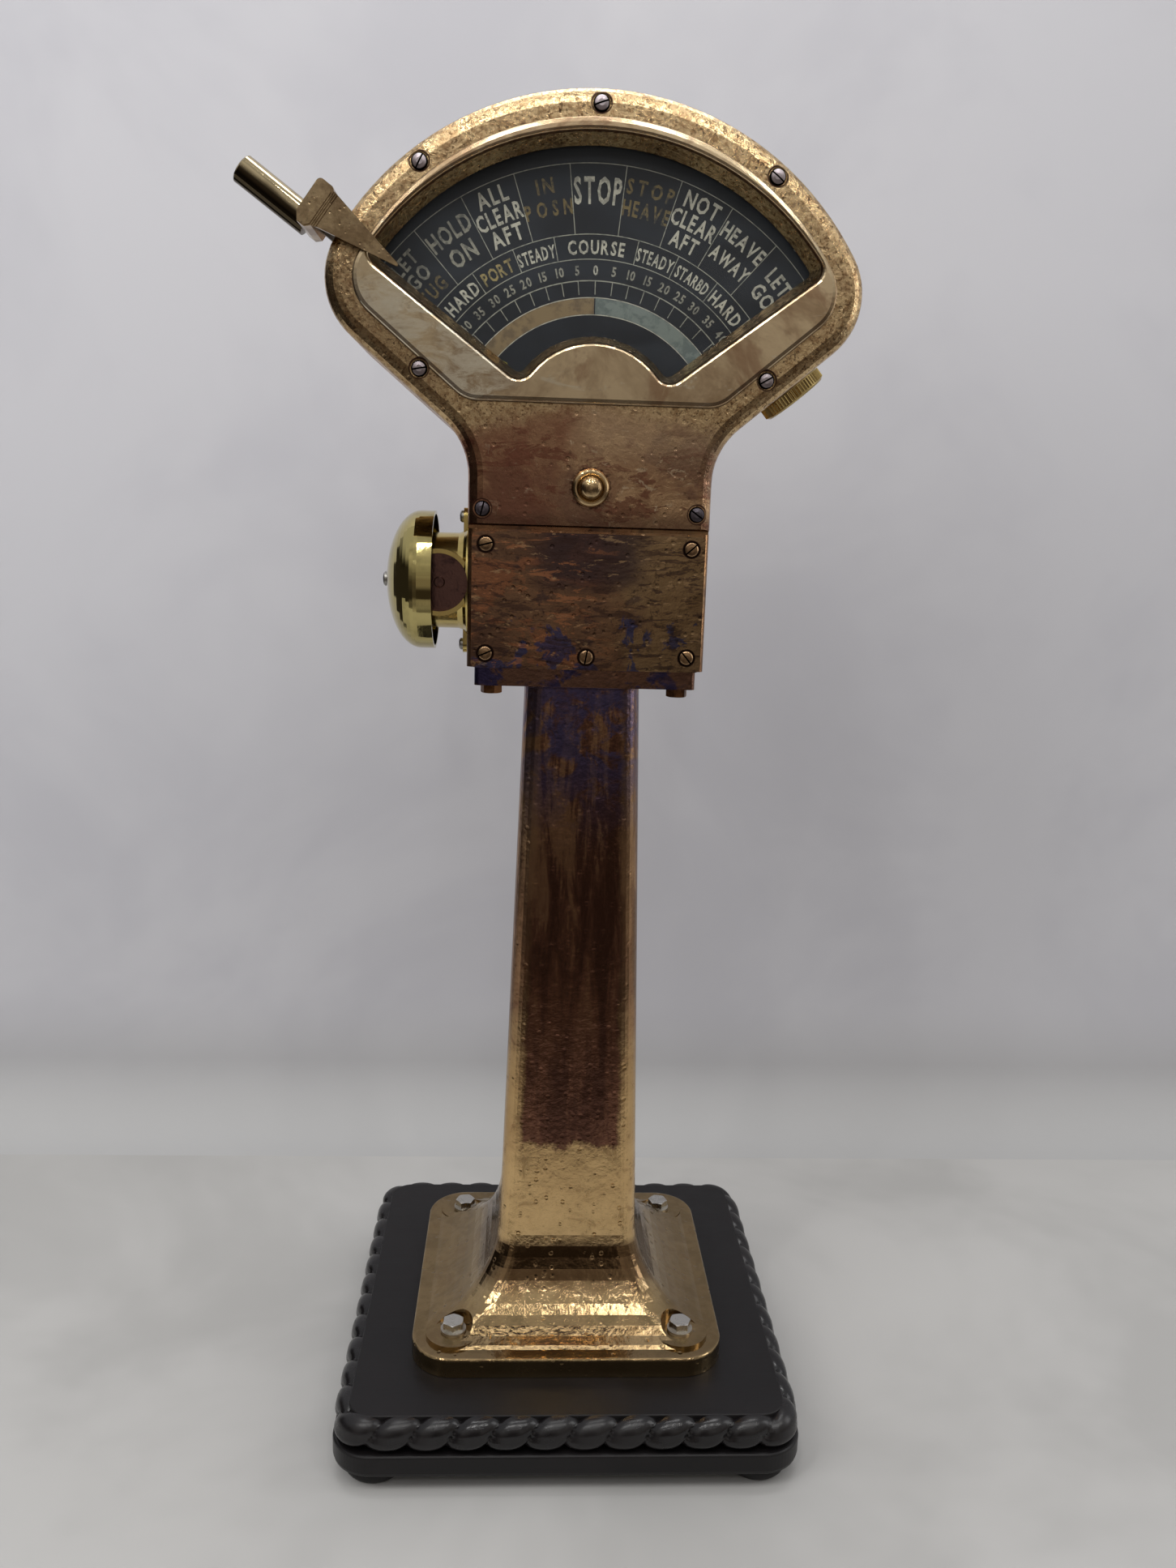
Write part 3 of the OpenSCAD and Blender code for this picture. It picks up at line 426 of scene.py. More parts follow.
def bronze_lever():
    k = Mat("bronze_lever", Metallic=1.0)
    a = k.noise(45, 6.0, 0.65, 0.5)
    b = k.noise(260, 4.0, 0.65)
    c = k.mix(k.step(a, 0.40, 0.62), lin(176, 154, 120), lin(140, 118, 90))
    c = k.mix(k.mul(k.step(b, 0.56, 0.68), 0.35), c, lin(100, 80, 58))
    k.set("Base Color", c)
    k.set("Roughness", k.blend(a, 0.14, 0.32))
    n = k.bump(k.noise(90, 2.0, 0.5), 0.00022)
    n = k.bump(b, 0.00010, n)
    k.set("Normal", k.bump(k.math("SUBTRACT", 1.0, k.pits(260, 0.34, 0.25)), 0.00014, n))
    return k.m


def steel(name, colour, rough=0.28, dirt_and_painted_shade=0.35, dirt_colour=None, grain=0.00005, top=None):
    k = Mat(name, Metallic=1.0)
    a = k.noise(90, 5.0, 0.65, 0.3)
    b = k.noise(600, 3.0, 0.6)
    d = dirt_colour or lin(58, 50, 46)
    c = k.mix(k.mul(k.step(a, 0.48, 0.68), dirt_and_painted_shade), colour, d)
    r = k.blend(a, rough, rough + 0.18)
    if top is not None:  # slotted heads facing -Y with their tops at y = top: painted shade fills the slots
        if top > -0.102:
            c = k.mix(k.mul(k.step(k.z, 0.930, 0.900), 0.8), c, lin(70, 66, 76))
        painted_slot_shade = k.step(k.y, top + 0.0008, top + 0.0012)
        c = k.mix(painted_slot_shade, c, lin(15, 11, 10))
        r = k.blend(painted_slot_shade, r, 0.7)
    k.set("Base Color", c)
    k.set("Roughness", r)
    k.set("Normal", k.bump(b, grain))
    return k.m


def turned(name, colour, rough=0.24):
    """Machined metal with the fine rings that a lathe or file leaves."""
    k = Mat(name, Metallic=1.0)
    a = k.noise(70, 4.0, 0.6, 0.2)
    rings = k.noise(900, 1.0, 0.5, 0.0, stretch=(0.06, 1.0, 0.06))
    k.set("Base Color", k.mix(k.mul(k.step(a, 0.5, 0.7), 0.3), colour, BROWN))
    k.set("Roughness", k.blend(a, rough, rough + 0.14))
    k.set("Normal", k.bump(rings, 0.00004))
    return k.m


def black_wood(name="black_wood", rough=0.34, shine=0.32):
    k = Mat(name, Specular_IOR_Level=shine)
    grain = k.noise(60, 5.0, 0.6, 0.3, stretch=(0.12, 1.0, 1.0))
    wear = k.noise(16, 5.0, 0.6)
    c = k.mix(k.step(wear, 0.45, 0.7), lin(17, 15, 16), lin(23, 20, 21))
    c = k.mix(k.mul(k.step(grain, 0.60, 0.75), 0.35), c, lin(12, 11, 12))
    k.set("Base Color", c)
    k.set("Roughness", k.blend(k.step(wear, 0.3, 0.7), rough, rough + 0.14))
    n = k.bump(grain, 0.00018)
    k.set("Normal", k.bump(k.noise(420, 3.0, 0.6), 0.00004, n))
    return k.m


def dial_black():
    k = Mat("dial_black")
    streak = k.noise(26, 5.0, 0.6, 0.6, stretch=(0.5, 1.0, 1.3))
    scuff = k.noise(190, 4.0, 0.6, 0.2, stretch=(0.35, 1.0, 1.0))
    c = k.mix(k.step(streak, 0.38, 0.66), lin(19, 21, 26), lin(30, 34, 41))
    c = k.mix(k.mul(k.step(scuff, 0.60, 0.74), 0.35), c, lin(54, 60, 68))
    k.set("Base Color", c)
    k.set("Roughness", k.blend(streak, 0.38, 0.60))
    k.set("Normal", k.bump(scuff, 0.00003))
    return k.m


def paint(name, colour, under, loss=0.5, rough=0.6, scale=260):
    """Old paint that has rubbed off in specks to what is under it."""
    k = Mat(name)
    a = k.noise(scale, 4.0, 0.7, 0.3)
    b = k.noise(30, 4.0, 0.6)
    f = k.mul(k.step(k.add(a, k.mul(b, 0.35)), 0.62, 0.80), loss)
    k.set("Base Color", k.mix(f, colour, under))
    k.set("Roughness", k.blend(b, rough - 0.08, rough + 0.10))
    k.set("Normal", k.bump(a, 0.00003))
    return k.m


def bakelite(name, colour, other):
    k = Mat(name)
    a = k.noise(80, 5.0, 0.6, 1.2)
    k.set("Base Color", k.mix(k.step(a, 0.42, 0.62), colour, other))
    k.set("Roughness", k.blend(a, 0.30, 0.48))
    k.set("Normal", k.bump(k.noise(500, 2.0, 0.5), 0.00003))
    return k.m


def coil_wire():
    """Lacquered copper wire wound round the X axis, turn beside turn."""
    k = Mat("coil_wire", Metallic=0.75)
    wv = k.new("ShaderNodeTexWave", wave_type="BANDS", bands_direction="X", wave_profile="SIN")
    k.put(wv.inputs["Vector"], k.co)
    wv.inputs["Scale"].default_value = 260
    wv.inputs["Distortion"].default_value = 0.6
    wv.inputs["Detail"].default_value = 1.0
    a = k.noise(60, 4.0, 0.6)
    c = k.mix(k.step(a, 0.4, 0.65), lin(96, 34, 26), lin(58, 22, 20))
    # painted shade: darker in the grooves between the turns, lighter on their crowns
    k.set("Base Color", k.mix(k.mul(wv.outputs["Fac"], 0.5), lin(30, 12, 12), c))
    k.set("Roughness", k.blend(a, 0.28, 0.42))
    k.set("Normal", k.bump(wv.outputs["Fac"], 0.0003))
    return k.m


def glass():
    k = Mat("window_glass", Roughness=0.03, IOR=1.6, Alpha=0.14)
    smear = k.noise(18, 4.0, 0.6, 0.8, stretch=(0.5, 1.0, 1.4))
    k.set("Base Color", k.mix(k.step(smear, 0.4, 0.65), lin(40, 47, 54), lin(66, 74, 82)))
    k.set("Normal", k.bump(k.noise(9, 2.0, 0.5), 0.0002))
    k.m.surface_render_method = "BLENDED"
    return k.m


def bulb():
    k = Mat("bulb_glass", Roughness=0.08, IOR=1.5, Alpha=0.45)
    a = k.noise(60, 3.0, 0.5)
    k.set("Base Color", k.mix(k.step(a, 0.4, 0.6), lin(240, 236, 220), lin(214, 208, 188)))
    return k.m


def rubber():
    k = Mat("gasket_rubber")
    a = k.noise(300, 4.0, 0.6)
    k.set("Base Color", k.mix(k.step(a, 0.4, 0.65), lin(26, 25, 24), lin(40, 38, 36)))
    k.set("Roughness", k.blend(a, 0.62, 0.82))
    k.set("Normal", k.bump(a, 0.00005))
    return k.m


YELLOW_BRASS = lin(222, 204, 134)
LOOK = {
    "wood": black_wood(),
    "carved": black_wood("black_wood_carved", 0.20, 0.46),
    "pedestal": cast_pedestal(),
    "case": cast_case(),
    "cover": cast_cover(),
    "box": box_brass(),
    "bell": polished("bell_brass", lin(186, 172, 114), lin(96, 86, 54), 0.035, 0.00002, 0.7),
    "bell_base": polished("bell_base_brass", lin(206, 184, 116), lin(104, 86, 48), 0.16, 0.00004, 0.6),
    "grip": polished("grip_brass", lin(182, 166, 132), lin(96, 80, 56), 0.05, 0.00003, 0.55, 0.85),
    "lever": bronze_lever(),
    "cap": polished("cap_brass", lin(184, 162, 108), lin(78, 58, 30), 0.20, 0.00003, 0.8),
    "button": polished("button_brass", lin(184, 158, 118), lin(96, 68, 46), 0.13, 0.00003, 0.6),
    "gear": turned("gear_brass", lin(206, 172, 104)),
    "bush": turned("bush_bronze", lin(184, 132, 86)),
    "bolt": steel("bolt_steel", lin(212, 210, 204), 0.18, 0.35, lin(120, 110, 96)),
    "washer": steel("washer_steel", lin(184, 178, 168), 0.30, 0.5, lin(120, 104, 80)),
    "screw": steel("screw_steel", lin(172, 162, 166), 0.24, 0.45, lin(84, 70, 66), top=-0.1012),
    "box_screw": steel("box_screw_bronze", lin(158, 128, 96), 0.20, 0.6, lin(78, 58, 46), top=-0.1032),
    "flange_bolt": steel("flange_bolt_bronze", lin(120, 82, 52), 0.34, 0.7, lin(50, 36, 30)),
    "small_steel": steel("small_steel", lin(170, 168, 164), 0.28, 0.3),
    "frame": steel("frame_steel", lin(150, 148, 144), 0.36, 0.4),
    "retainer": steel("dark_bronze", lin(92, 70, 52), 0.40, 0.5),
    "shaft": turned("shaft_steel", lin(176, 176, 174), 0.22),
    "dial": dial_black(),
    "olive": paint("pointer_paint", lin(150, 142, 40), lin(96, 88, 30), 0.6),
    "insulation": bakelite("insulation", lin(58, 32, 22), lin(34, 20, 16)),
    "coil": coil_wire(),
    "motor": paint("motor_paint", lin(62, 64, 68), lin(30, 30, 32), 0.7, 0.5, 120),
    "glass": glass(),
    "bulb": bulb(),
    "rubber": rubber(),
    "segments": turned("segment_copper", lin(190, 116, 76)),
    "disc": steel("bell_disc_dark", lin(112, 84, 78), 0.14, 0.7, lin(52, 38, 44), 0.00012),
}
USES = {
    "wood": "bun_feet plinth_board base_board rope_moulding",
    "pedestal": "pedestal",
    "case": "housing lamp_boss",
    "cover": "head_cover",
    "box": "box_cover",
    "bell": "gong",
    "bell_base": "bell_base",
    "grip": "lever_grip",
    "lever": "lever_head",
    "cap": "lamp_cap",
    "button": "push_button button_collar",
    "gear": "sector_gear commutator_pinion pointer_gear motor_pinion terminal_screws brushes",
    "bush": "front_bush rear_bush",
    "bolt": "foot_bolts",
    "washer": "foot_washers",
    "screw": "head_cover_screws",
    "box_screw": "box_cover_screws",
    "flange_bolt": "flange_bolts",
    "small_steel": "dial_screws dial_pillars bell_base_screws gong_post gong_screw bell_hammer button_spring detent_roller",
    "frame": "bearing_frame index_plate lever_arm",
    "retainer": "glass_retainer",
    "shaft": "main_shaft commutator_shaft pointer_spindle motor_rotor",
    "dial": "dial_plate",
    "olive": "reply_pointer",
    "insulation": "brush_holder contact_block terminal_block lamp_holder",
    "coil": "bell_coil",
    "disc": "bell_disc",
    "motor": "motor_case",
    "glass": "window_glass",
    "bulb": "lamp_bulb",
    "rubber": "glass_gasket",
    "segments": "commutator_drum",
}
SHARP = {"wood": 40, "pedestal": 38, "case": 35, "cover": 35, "box": 35}
for key, names in USES.items():
    for name in names.split():
        o = NODES[name]
        o.data.materials.clear()
        o.data.materials.append(LOOK[key])
        o.data.shade_smooth()
        o.data.set_sharp_from_angle(angle=RAD(SHARP.get(key, 32)))
left = sorted(set(NODES) - set(" ".join(USES.values()).split()))
if left:
    raise RuntimeError(f"no look for {left}")


# ---------------------------------------------------------------- new pieces
def piece(name, verts, faces, mats, body, replaces=(), smooth=None, indices=None):
    me = bpy.data.meshes.new(name)
    me.from_pydata(verts, [], faces)
    for m in mats:
        me.materials.append(m)
    if indices is not None:
        me.polygons.foreach_set("material_index", indices)
    me.update()
    if smooth is not None:
        me.shade_smooth()
        me.set_sharp_from_angle(angle=RAD(smooth))
    o = bpy.data.objects.new(name, me)
    SCENE.collection.objects.link(o)
    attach(o, body)
    if replaces:
        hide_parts(*replaces)
    return o


def rope():
    """Carved rope moulding: fat slanting lobes round a closed rounded square."""
    lo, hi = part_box("rope_moulding")
    zc, r0 = (lo.z + hi.z) / 2, (hi.z - lo.z) / 2
    half = hi.x - r0  # the board's edge
    rc = 0.024
    run = 2 * (half - rc)
    arc = math.pi / 2 * rc
    total = 4 * (run + arc)
    lobes, seg, ring = 44, 14, 36
    n = lobes * seg
    verts, faces = [], []

    def at(s):
        s %= total
        q, t = int(s // (run + arc)), s % (run + arc)
        if t < run:  # along the front edge first, then the other three
            p, a = Vector((-run / 2 + t, -half, 0)), 0.0
        else:
            a = (t - run) / rc
            p = Vector((run / 2 + rc * SIN(a), -half + rc - rc * COS(a), 0))
        turn = Matrix.Rotation(q * math.pi / 2, 3, "Z")
        out = Vector((SIN(a), -COS(a), 0))
        return turn @ p, turn @ out

    # fat lobes lean along the rope: each groove climbs half a lobe from under to top
    for i in range(n):
        p, out = at(total * i / n)
        for j in range(ring):
            f = 2 * math.pi * j / ring
            u = (lobes * i / n - (f / (2 * math.pi) if f < math.pi else f / (2 * math.pi) - 1)) % 1.0
            bulge = (1 - abs(2 * u - 1) ** 2.3) ** 0.62
            r = r0 * (0.54 + 0.455 * bulge)
            low = max(0.0, -SIN(f)) * max(0.0, COS(f))
            verts.append(p + out * (r * COS(f) + 0.0060 * low) + Vector((0, 0, zc + r * SIN(f))))
    for i in range(n):
        for j in range(ring):
            a, b = i * ring + j, i * ring + (j + 1) % ring
            e = ((i + 1) % n) * ring
            faces.append((a, e + j, e + (j + 1) % ring, b))
    return piece("rope_moulding_carved", verts, faces, [LOOK["carved"]], "stand", ["rope_moulding"], 50)


rope()


# ---------------------------------------------------------------- the dial's marks
PIVOT = Vector((0, 0, 0.941))
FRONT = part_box("dial_plate")[0].y  # front face of the dial
UNDER = lin(40, 44, 50)
INK = {
    "cream": paint("mark_cream", lin(226, 224, 204), UNDER, 0.45),
    "dim": paint("mark_dim", lin(178, 176, 158), UNDER, 0.55),
    "old": paint("mark_old_yellow", lin(138, 120, 74), UNDER, 0.8),
    "port": paint("mark_port_yellow", lin(184, 166, 108), UNDER, 0.6),
    "line": paint("mark_line", lin(190, 190, 172), UNDER, 0.45),
    "ochre": paint("band_ochre", lin(156, 134, 96), lin(112, 96, 72), 0.7, scale=90),
    "green": paint("band_green", lin(142, 154, 146), lin(100, 112, 108), 0.7, scale=90),
}
GLYPHS = {}


def glyph(ch):
    """Solid letter of cap height 1 and depth 1, centred on x, with its width."""
    if ch not in GLYPHS:
        c = bpy.data.curves.new("glyph", "FONT")
        c.body = ch
        c.size = 1.0
        c.resolution_u = 2
        c.extrude = 0.05
        c.offset = 0.026
        o = bpy.data.objects.new("glyph", c)
        SCENE.collection.objects.link(o)
        bpy.context.view_layer.update()
        me = bpy.data.meshes.new_from_object(o.evaluated_get(bpy.context.evaluated_depsgraph_get()))
        bm = bmesh.new()
        bm.from_mesh(me)
        bmesh.ops.remove_doubles(bm, verts=bm.verts, dist=1e-4)
        bmesh.ops.recalc_face_normals(bm, faces=bm.faces)
        vs = [v.co.copy() for v in bm.verts]
        bm.verts.index_update()
        fs = [[v.index for v in f.verts] for f in bm.faces]
        bm.free()
        bpy.data.objects.remove(o)
        bpy.data.curves.remove(c)
        bpy.data.meshes.remove(me)
        x0, x1 = min(v.x for v in vs), max(v.x for v in vs)
        GLYPHS[ch] = ([Vector((v.x - (x0 + x1) / 2, v.y, v.z * 10)) for v in vs], fs, x1 - x0)
    return GLYPHS[ch]


CAP = max(v.y for v in glyph("H")[0])


class Marks:
    """Gathers the solid marks of one colour on the dial into one piece."""

    def __init__(self):
        self.v, self.f = [], []

    def put(self, verts, faces):
        b = len(self.v)
        self.v += verts
        self.f += [tuple(b + i for i in f) for f in faces]

    def word(self, text, clock, radius, height, width=0.66, gap=0.17, depth=0.00012):
        """A word on an arc: clock angle of its middle, radius of its baseline."""
        k = height / CAP
        sizes = [glyph(c)[2] * k * width if c != " " else 0.35 * height for c in text]
        total = sum(sizes) + gap * height * (len(text) - 1)
        run = -total / 2
        mid = radius + height * 0.45
        for c, w in zip(text, sizes):
            if c != " ":
                a = RAD(clock) + (run + w / 2) / mid
                vs, fs, _ = glyph(c)
                out = []
                for q in vs:
                    gx, gz = q.x * k * width, radius + q.y * k
                    out.append(Vector((gx * COS(a) + gz * SIN(a), FRONT - depth * (0.5 + q.z), PIVOT.z + gz * COS(a) - gx * SIN(a))))
                self.put(out, fs)
            run += w + gap * height

    def ring(self, r0, r1, a0, a1, depth=0.00010, step=1.5, cut=None):
        """A flat solid ring piece between two radii and two clock angles."""
        n = max(1, int(round(abs(a1 - a0) / step)))
        vs, fs = [], []
        for i in range(n + 1):
            a = RAD(a0 + (a1 - a0) * i / n)
            for r in (r0, r1):
                for y in (FRONT, FRONT - depth):
                    vs.append(Vector((r * SIN(a), y, PIVOT.z + r * COS(a))))
        for i in range(n):
            o, p = 4 * i, 4 * i + 4
            fs += [(o + 1, p + 1, p + 3, o + 3), (o, o + 2, p + 2, p), (o, p, p + 1, o + 1), (o + 2, o + 3, p + 3, p + 2)]
        e = 4 * n
        fs += [(0, 1, 3, 2), (e, e + 2, e + 3, e + 1)]
        self.put(vs, fs)

    def spoke(self, clock, r0, r1, w=0.0007, depth=0.00010):
        a = RAD(clock)
        t, n = Vector((COS(a), 0, -SIN(a))), Vector((SIN(a), 0, COS(a)))
        vs = []
        for r in (r0, r1):
            for s in (-w / 2, w / 2):
                for y in (FRONT, FRONT - depth):
                    q = PIVOT + n * r + t * s
                    vs.append(Vector((q.x, y, q.z)))
        self.put(vs, [(1, 3, 7, 5), (0, 4, 6, 2), (0, 1, 5, 4), (2, 6, 7, 3), (0, 2, 3, 1), (4, 5, 7, 6)])

    def make(self, name, ink):
        o = piece(name, self.v, self.f, [INK[ink]], "stand")
        bm = bmesh.new()
        bm.from_mesh(o.data)
        bmesh.ops.recalc_face_normals(bm, faces=bm.faces)
        bm.to_mesh(o.data)
        bm.free()


def dial():
    m = 0.001
    cream, dim, old, port, line, ochre, green = (Marks() for _ in range(7))
    cream.word("STOP", 0, 199.5 * m, 21 * m, 0.48, 0.11)
    dim.word("LET", -48.2, 212 * m, 12 * m, 0.74)
    dim.word("GO", -48.2, 196 * m, 12.5 * m, 0.74)
    old.word("TUG", -48.2, 180 * m, 12 * m, 0.70)
    dim.word("HOLD", -36.1, 205 * m, 15 * m, 0.64, 0.13)
    dim.word("ON", -36.1, 184.5 * m, 15 * m, 0.70, 0.15)
    cream.word("ALL", -24, 213.5 * m, 13.5 * m, 0.74, 0.15)
    cream.word("CLEAR", -24, 197 * m, 13.5 * m, 0.62, 0.12)
    cream.word("AFT", -24, 180.5 * m, 13.5 * m, 0.72, 0.14)
    old.word("IN", -12, 210 * m, 12 * m, 0.80, 0.3)
    old.word("POSN", -12, 192 * m, 12 * m, 0.66, 0.38)
    old.word("STOP", 12, 210 * m, 12 * m, 0.74, 0.32)
    old.word("HEAVE", 12, 192.5 * m, 12.5 * m, 0.62, 0.16)
    cream.word("NOT", 24, 213.5 * m, 13.5 * m, 0.70, 0.14)
    cream.word("CLEAR", 24, 197 * m, 13.5 * m, 0.62, 0.12)
    cream.word("AFT", 23.6, 180.5 * m, 13 * m, 0.66, 0.12)
    cream.word("HEAVE", 36.1, 207.5 * m, 13 * m, 0.66, 0.13)
    cream.word("AWAY", 36.4, 188 * m, 12.0 * m, 0.62, 0.10)
    cream.word("LET", 48.2, 206 * m, 13 * m, 0.70, 0.14)
    cream.word("GO", 48.2, 188.5 * m, 13 * m, 0.74, 0.14)
    cream.word("COURSE", 0, 159.3 * m, 11 * m, 0.70, 0.17)
    cream.word("STEADY", -18, 159.0 * m, 10.4 * m, 0.52, 0.09)
    cream.word("STEADY", 18, 159.0 * m, 10.4 * m, 0.52, 0.09)
    port.word("PORT", -30.6, 159.0 * m, 10.8 * m, 0.66, 0.11)
    cream.word("STARBD", 30.5, 159.2 * m, 10.0 * m, 0.53, 0.09)
    cream.word("HARD", -43.6, 158.8 * m, 11.2 * m, 0.68, 0.13)
    cream.word("HARD", 43.6, 158.8 * m, 11.2 * m, 0.68, 0.13)
    for i, a in enumerate((0, 6.2, 12.1, 18, 24, 30, 36, 42.5, 49)):
        for s in (-1, 1) if i else (1,):
            (cream if i == 0 else dim).word(str(5 * i), s * a, 142.4 * m, 7.6 * m, 0.78, 0.18)
            line.spoke(s * a, 126.5 * m, 137.4 * m, 0.0007)
    w = 0.0007
    for r in (231, 175, 155):
        line.ring(r * m - w / 2, r * m + w / 2, -57, 57)
    line.ring(137.2 * m, 138.1 * m, -57, 57)
    for a in (-54, -42, -30, -18, -6, 6, 18, 30, 42, 54):
        line.spoke(a, 175.2 * m, 230.8 * m)
    for a in (-37, -24, -12, 12, 24, 37, -50.5, 50.5):
        line.spoke(a, 155.2 * m, 174.8 * m)
    cream.ring(123.6 * m, 124.3 * m, -62, 62)
    cream.ring(109.6 * m, 110.3 * m, -62, 62)
    ochre.ring(110.4 * m, 123.5 * m, -62, -0.25)
    green.ring(110.4 * m, 123.5 * m, 0.25, 62)
    cream.make("dial_marks_cream", "cream")
    dim.make("dial_marks_dim", "dim")
    old.make("dial_marks_old", "old")
    port.make("dial_marks_port", "port")
    line.make("dial_lines", "line")
    ochre.make("dial_band_port", "ochre")
    green.make("dial_band_starboard", "green")


dial()


# ---------------------------------------------------------------- stage, light and room
def stage_mat(name, colour, other, one_sided=False):
    k = Mat(name)
    a = k.noise(2.2, 4.0, 0.6, 0.4)
    b = k.noise(60, 3.0, 0.6)
    c = k.mix(k.step(a, 0.40, 0.66), colour, other)
    if one_sided:  # the sweep up from the floor is shaded like the floor
        c = k.mix(k.step(k.z, 0.22, 0.0), c, lin(172, 172, 172))
    k.set("Base Color", c)
    k.set("Roughness", k.blend(b, 0.70, 0.86))
    k.set("Specular_IOR_Level", 0.25)
    k.set("Normal", k.bump(b, 0.0001))
    if one_sided:  # seen from behind it is clear, so it hides nothing in a back view
        out = next(n for n in k.t.nodes if n.type == "OUTPUT_MATERIAL")
        mixer, clear, geo = k.new("ShaderNodeMixShader"), k.new("ShaderNodeBsdfTransparent"), k.new("ShaderNodeNewGeometry")
        k.put(mixer.inputs[0], geo.outputs["Backfacing"])
        k.put(mixer.inputs[1], k.p.outputs[0])
        k.put(mixer.inputs[2], clear.outputs[0])
        k.put(out.inputs["Surface"], mixer.outputs[0])
    return k.m


def sheet(name, verts, faces, mat, smooth=False):
    me = bpy.data.meshes.new(name)
    me.from_pydata(verts, [], faces)
    me.materials.append(mat)
    if smooth:
        me.shade_smooth()
    me.update()
    o = bpy.data.objects.new(name, me)
    SCENE.collection.objects.link(o)
    return o


def stage():
    floor = stage_mat("stage_floor", lin(180, 179, 177), lin(168, 167, 165))
    wall = stage_mat("stage_wall", lin(196, 196, 201), lin(188, 188, 194), True)
    y0, y1 = -0.66, 0.40
    sheet("floor_near", [(-2.5, y0, 0), (2.5, y0, 0), (2.5, y1, 0), (-2.5, y1, 0)], [(0, 1, 2, 3)], floor)
    far = sheet("floor_front", [(-2.5, -3.5, 0), (2.5, -3.5, 0), (2.5, y0, 0), (-2.5, y0, 0)], [(0, 1, 2, 3)], floor)
    far.visible_glossy = False
    far.visible_diffuse = False
    back = sheet("floor_back", [(-2.5, y1, -0.0005), (2.5, y1, -0.0005), (2.5, 4, -0.0005), (-2.5, 4, -0.0005)], [(0, 1, 2, 3)], floor)
    back.visible_glossy = False
    verts, faces = [], []
    r, n = 0.10, 10
    prof = [(y1 + r * SIN(i * math.pi / 2 / n), r - r * COS(i * math.pi / 2 / n)) for i in range(n + 1)] + [(y1 + r + 0.02, 2.6)]
    for y, z in prof:
        verts += [(-0.95, y, z), (1.02, y, z)]
    for i in range(len(prof) - 1):
        faces.append((2 * i, 2 * i + 1, 2 * i + 3, 2 * i + 2))
    sheet("backdrop", verts, faces, wall, True)
    # a glowing card in front that only polished metal sees: a painted reflection of the dark room, paler towards its
    # top
    k = Mat("painted_reflection_card_glow", Base_Color=(0, 0, 0, 1), Specular_IOR_Level=0.0, Roughness=1.0, Emission_Strength=1.0)
    low = k.mix(k.step(k.z, 0.40, 0.66), (0.045, 0.035, 0.028, 1), (0.27, 0.235, 0.21, 1))
    k.set("Emission Color", k.mix(k.step(k.z, 0.84, 1.02), low, (0.36, 0.33, 0.30, 1)))
    card = sheet("painted_reflection_card", [(-0.32, -1.45, 0.02), (0.23, -1.45, 0.02), (0.23, -1.45, 1.02), (-0.32, -1.45, 1.02)], [(0, 1, 2, 3)], k.m)
    card.visible_camera = card.visible_diffuse = card.visible_shadow = card.visible_transmission = False


def area(name, place, target, size, size_y, watts, colour=(1, 1, 1)):
    data = bpy.data.lights.new(name, "AREA")
    data.shape = "RECTANGLE"
    data.size, data.size_y = size, size_y
    data.energy = watts
    data.color = colour
    o = bpy.data.objects.new(name, data)
    SCENE.collection.objects.link(o)
    o.location = place
    o.rotation_euler = (Vector(target) - Vector(place)).to_track_quat("-Z", "Y").to_euler()
    return o


def lights():
    for i, x in enumerate((-1.15, -0.4, 0.35, 1.1)):
        o = area(f"tube_{i}", (x, -1.35, 2.62), (x * 0.35, -0.1, 0.5), 0.05, 0.8, 6.5 if i < 2 else 5.0, (1.0, 0.99, 0.97))
    area("top", (0.0, 0.1, 2.8), (0, 0.1, 0.5), 1.5, 0.5, 17)
    area("strip_right", (1.8, -0.5, 1.3), (0, 0, 0.9), 0.5, 1.4, 6)
    wash = area("wall_wash", (-1.5, -1.1, 1.7), (-0.55, 0.4, 0.75), 1.0, 1.0, 15)
    wash.visible_glossy = False
    for i, x in enumerate((-0.75, -0.1, 0.55)):
        area(f"spark_{i}", (x, -2.2, 2.12), (x * 0.3, -0.1, 0.4), 0.07, 0.07, 1.0)


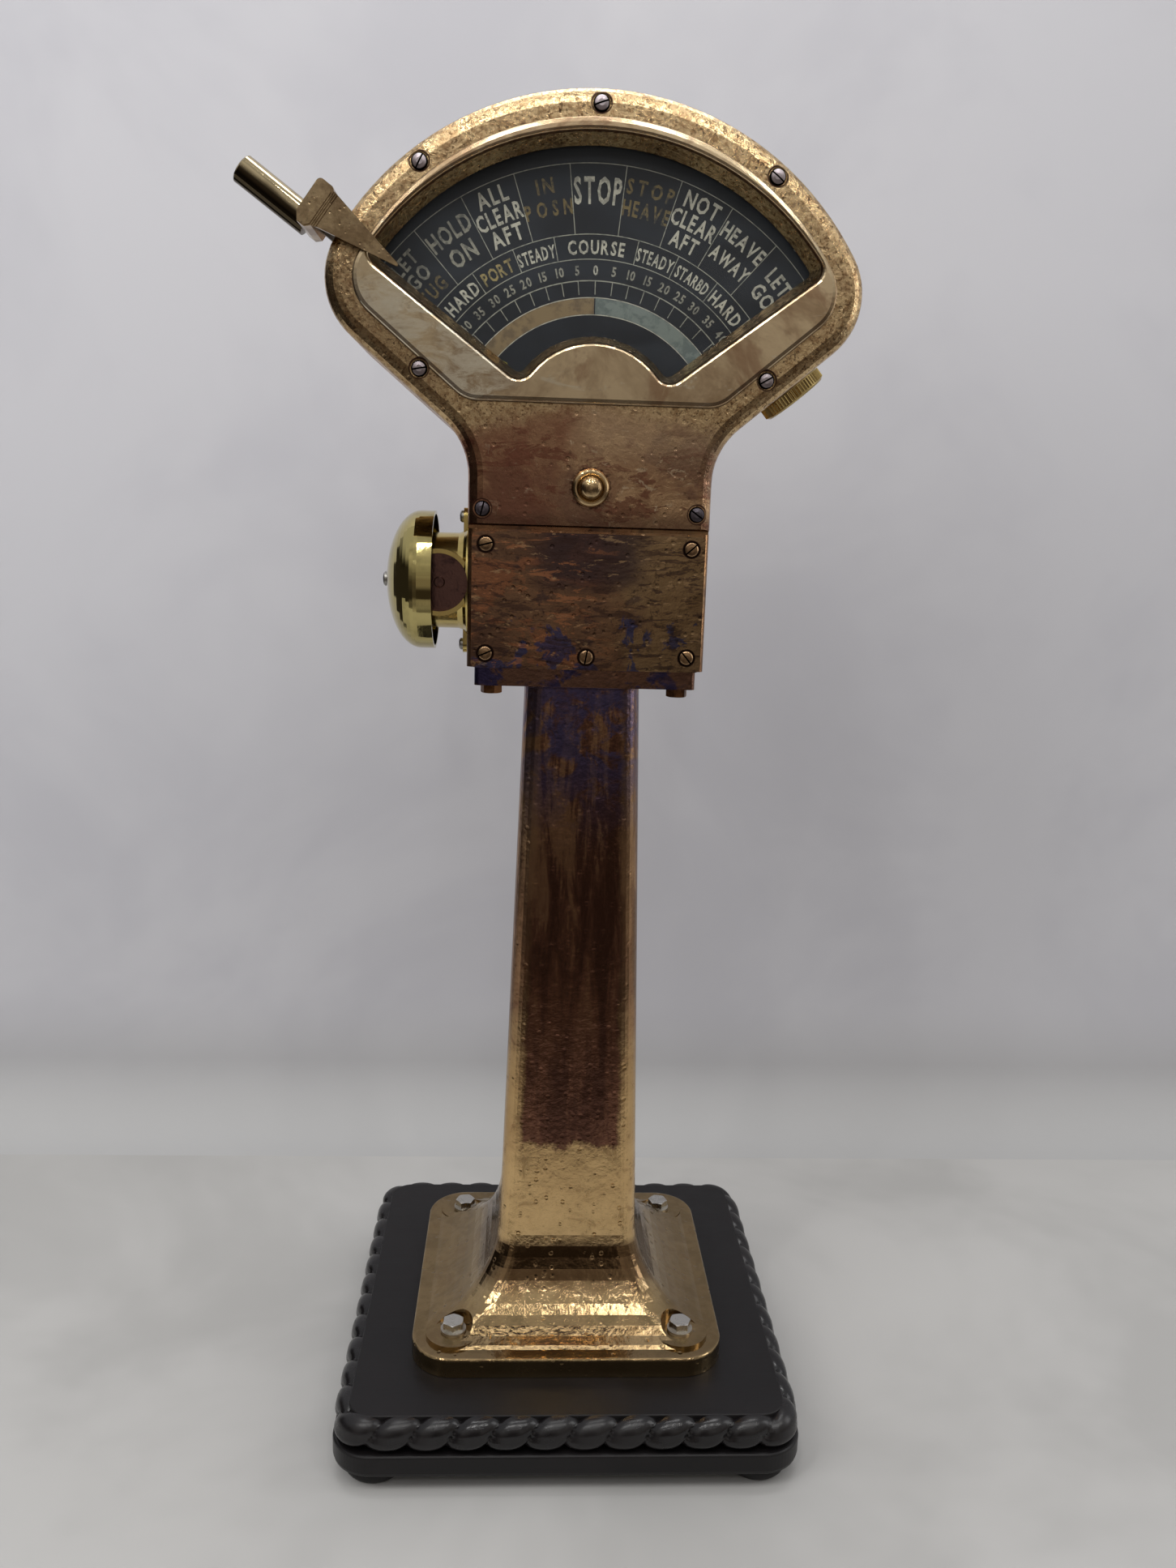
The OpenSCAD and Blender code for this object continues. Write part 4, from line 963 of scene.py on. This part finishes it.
def room():
    w = bpy.data.worlds.new("room")
    SCENE.world = w
    w.use_nodes = True
    t = w.node_tree
    t.nodes.clear()
    new = t.nodes.new
    out, bg = new("ShaderNodeOutputWorld"), new("ShaderNodeBackground")
    co, sep, lp = new("ShaderNodeTexCoord"), new("ShaderNodeSeparateXYZ"), new("ShaderNodeLightPath")
    t.links.new(co.outputs["Generated"], sep.inputs[0])

    def ramp(socket, stops):
        n = new("ShaderNodeValToRGB")
        t.links.new(socket, n.inputs[0])
        e = n.color_ramp.elements
        while len(e) < len(stops):
            e.new(0.5)
        for s, (p, c) in zip(e, stops):
            s.position = p
            s.color = (*c, 1)
        return n.outputs[0]

    def mix(f, a, b):
        n = new("ShaderNodeMix")
        n.data_type = "RGBA"
        for i, v in ((0, f), (6, a), (7, b)):
            if is_socket(v):
                t.links.new(v, n.inputs[i])
            else:
                n.inputs[i].default_value = v
        return n.outputs[2]

    up = new("ShaderNodeMapRange")
    t.links.new(sep.outputs[2], up.inputs[0])
    up.inputs[1].default_value, up.inputs[2].default_value = -1, 1
    front = ramp(up.outputs[0], [
        (0.00, (0.50, 0.48, 0.46)), (0.24, (0.30, 0.27, 0.25)), (0.28, (0.068, 0.055, 0.048)), (0.42, (0.088, 0.074, 0.066)),
        (0.475, (0.14, 0.11, 0.09)), (0.54, (0.34, 0.30, 0.26)), (0.64, (0.50, 0.47, 0.43)), (0.80, (0.62, 0.60, 0.58)), (1.0, (0.70, 0.69, 0.68))])
    back = ramp(up.outputs[0], [(0.0, (0.42, 0.41, 0.40)), (0.40, (0.46, 0.46, 0.46)), (0.55, (0.56, 0.56, 0.58)), (1.0, (0.66, 0.66, 0.68))])
    side = new("ShaderNodeMapRange")
    side.interpolation_type = "SMOOTHSTEP"
    t.links.new(sep.outputs[1], side.inputs[0])
    side.inputs[1].default_value, side.inputs[2].default_value = -0.50, -0.05
    # uneven room in front: furniture and people are darker than the walls
    nz = new("ShaderNodeTexNoise")
    t.links.new(co.outputs["Generated"], nz.inputs["Vector"])
    nz.inputs["Scale"].default_value = 2.6
    nz.inputs["Detail"].default_value = 3.0
    un = new("ShaderNodeMapRange")
    t.links.new(nz.outputs[0], un.inputs[0])
    un.inputs[1].default_value, un.inputs[2].default_value = 0.38, 0.62
    un.inputs[3].default_value, un.inputs[4].default_value = 0.55, 1.25
    vary = new("ShaderNodeMix")
    vary.data_type = "RGBA"
    vary.blend_type = "MULTIPLY"
    vary.inputs[0].default_value = 1.0
    t.links.new(front, vary.inputs[6])
    t.links.new(un.outputs[0], vary.inputs[7])
    env = mix(side.outputs[0], vary.outputs[2], back)
    left = new("ShaderNodeMapRange")
    left.interpolation_type = "SMOOTHSTEP"
    t.links.new(sep.outputs[0], left.inputs[0])
    left.inputs[1].default_value, left.inputs[2].default_value = -0.50, -0.78
    lowr = new("ShaderNodeMapRange")
    lowr.interpolation_type = "SMOOTHSTEP"
    t.links.new(sep.outputs[2], lowr.inputs[0])
    lowr.inputs[1].default_value, lowr.inputs[2].default_value = 0.55, 0.25
    both = new("ShaderNodeMath")
    both.operation = "MULTIPLY"
    t.links.new(left.outputs[0], both.inputs[0])
    t.links.new(lowr.outputs[0], both.inputs[1])
    env = mix(both.outputs[0], env, (0.035, 0.030, 0.028, 1))
    env = mix(lp.outputs["Is Camera Ray"], env, (0.52, 0.52, 0.54, 1))
    t.links.new(env, bg.inputs["Color"])
    bg.inputs["Strength"].default_value = 0.85
    t.links.new(bg.outputs[0], out.inputs[0])


stage()
lights()
room()
SCENE.view_settings.view_transform = "Standard"
SCENE.view_settings.look = "None"
SCENE.view_settings.exposure = 0.0
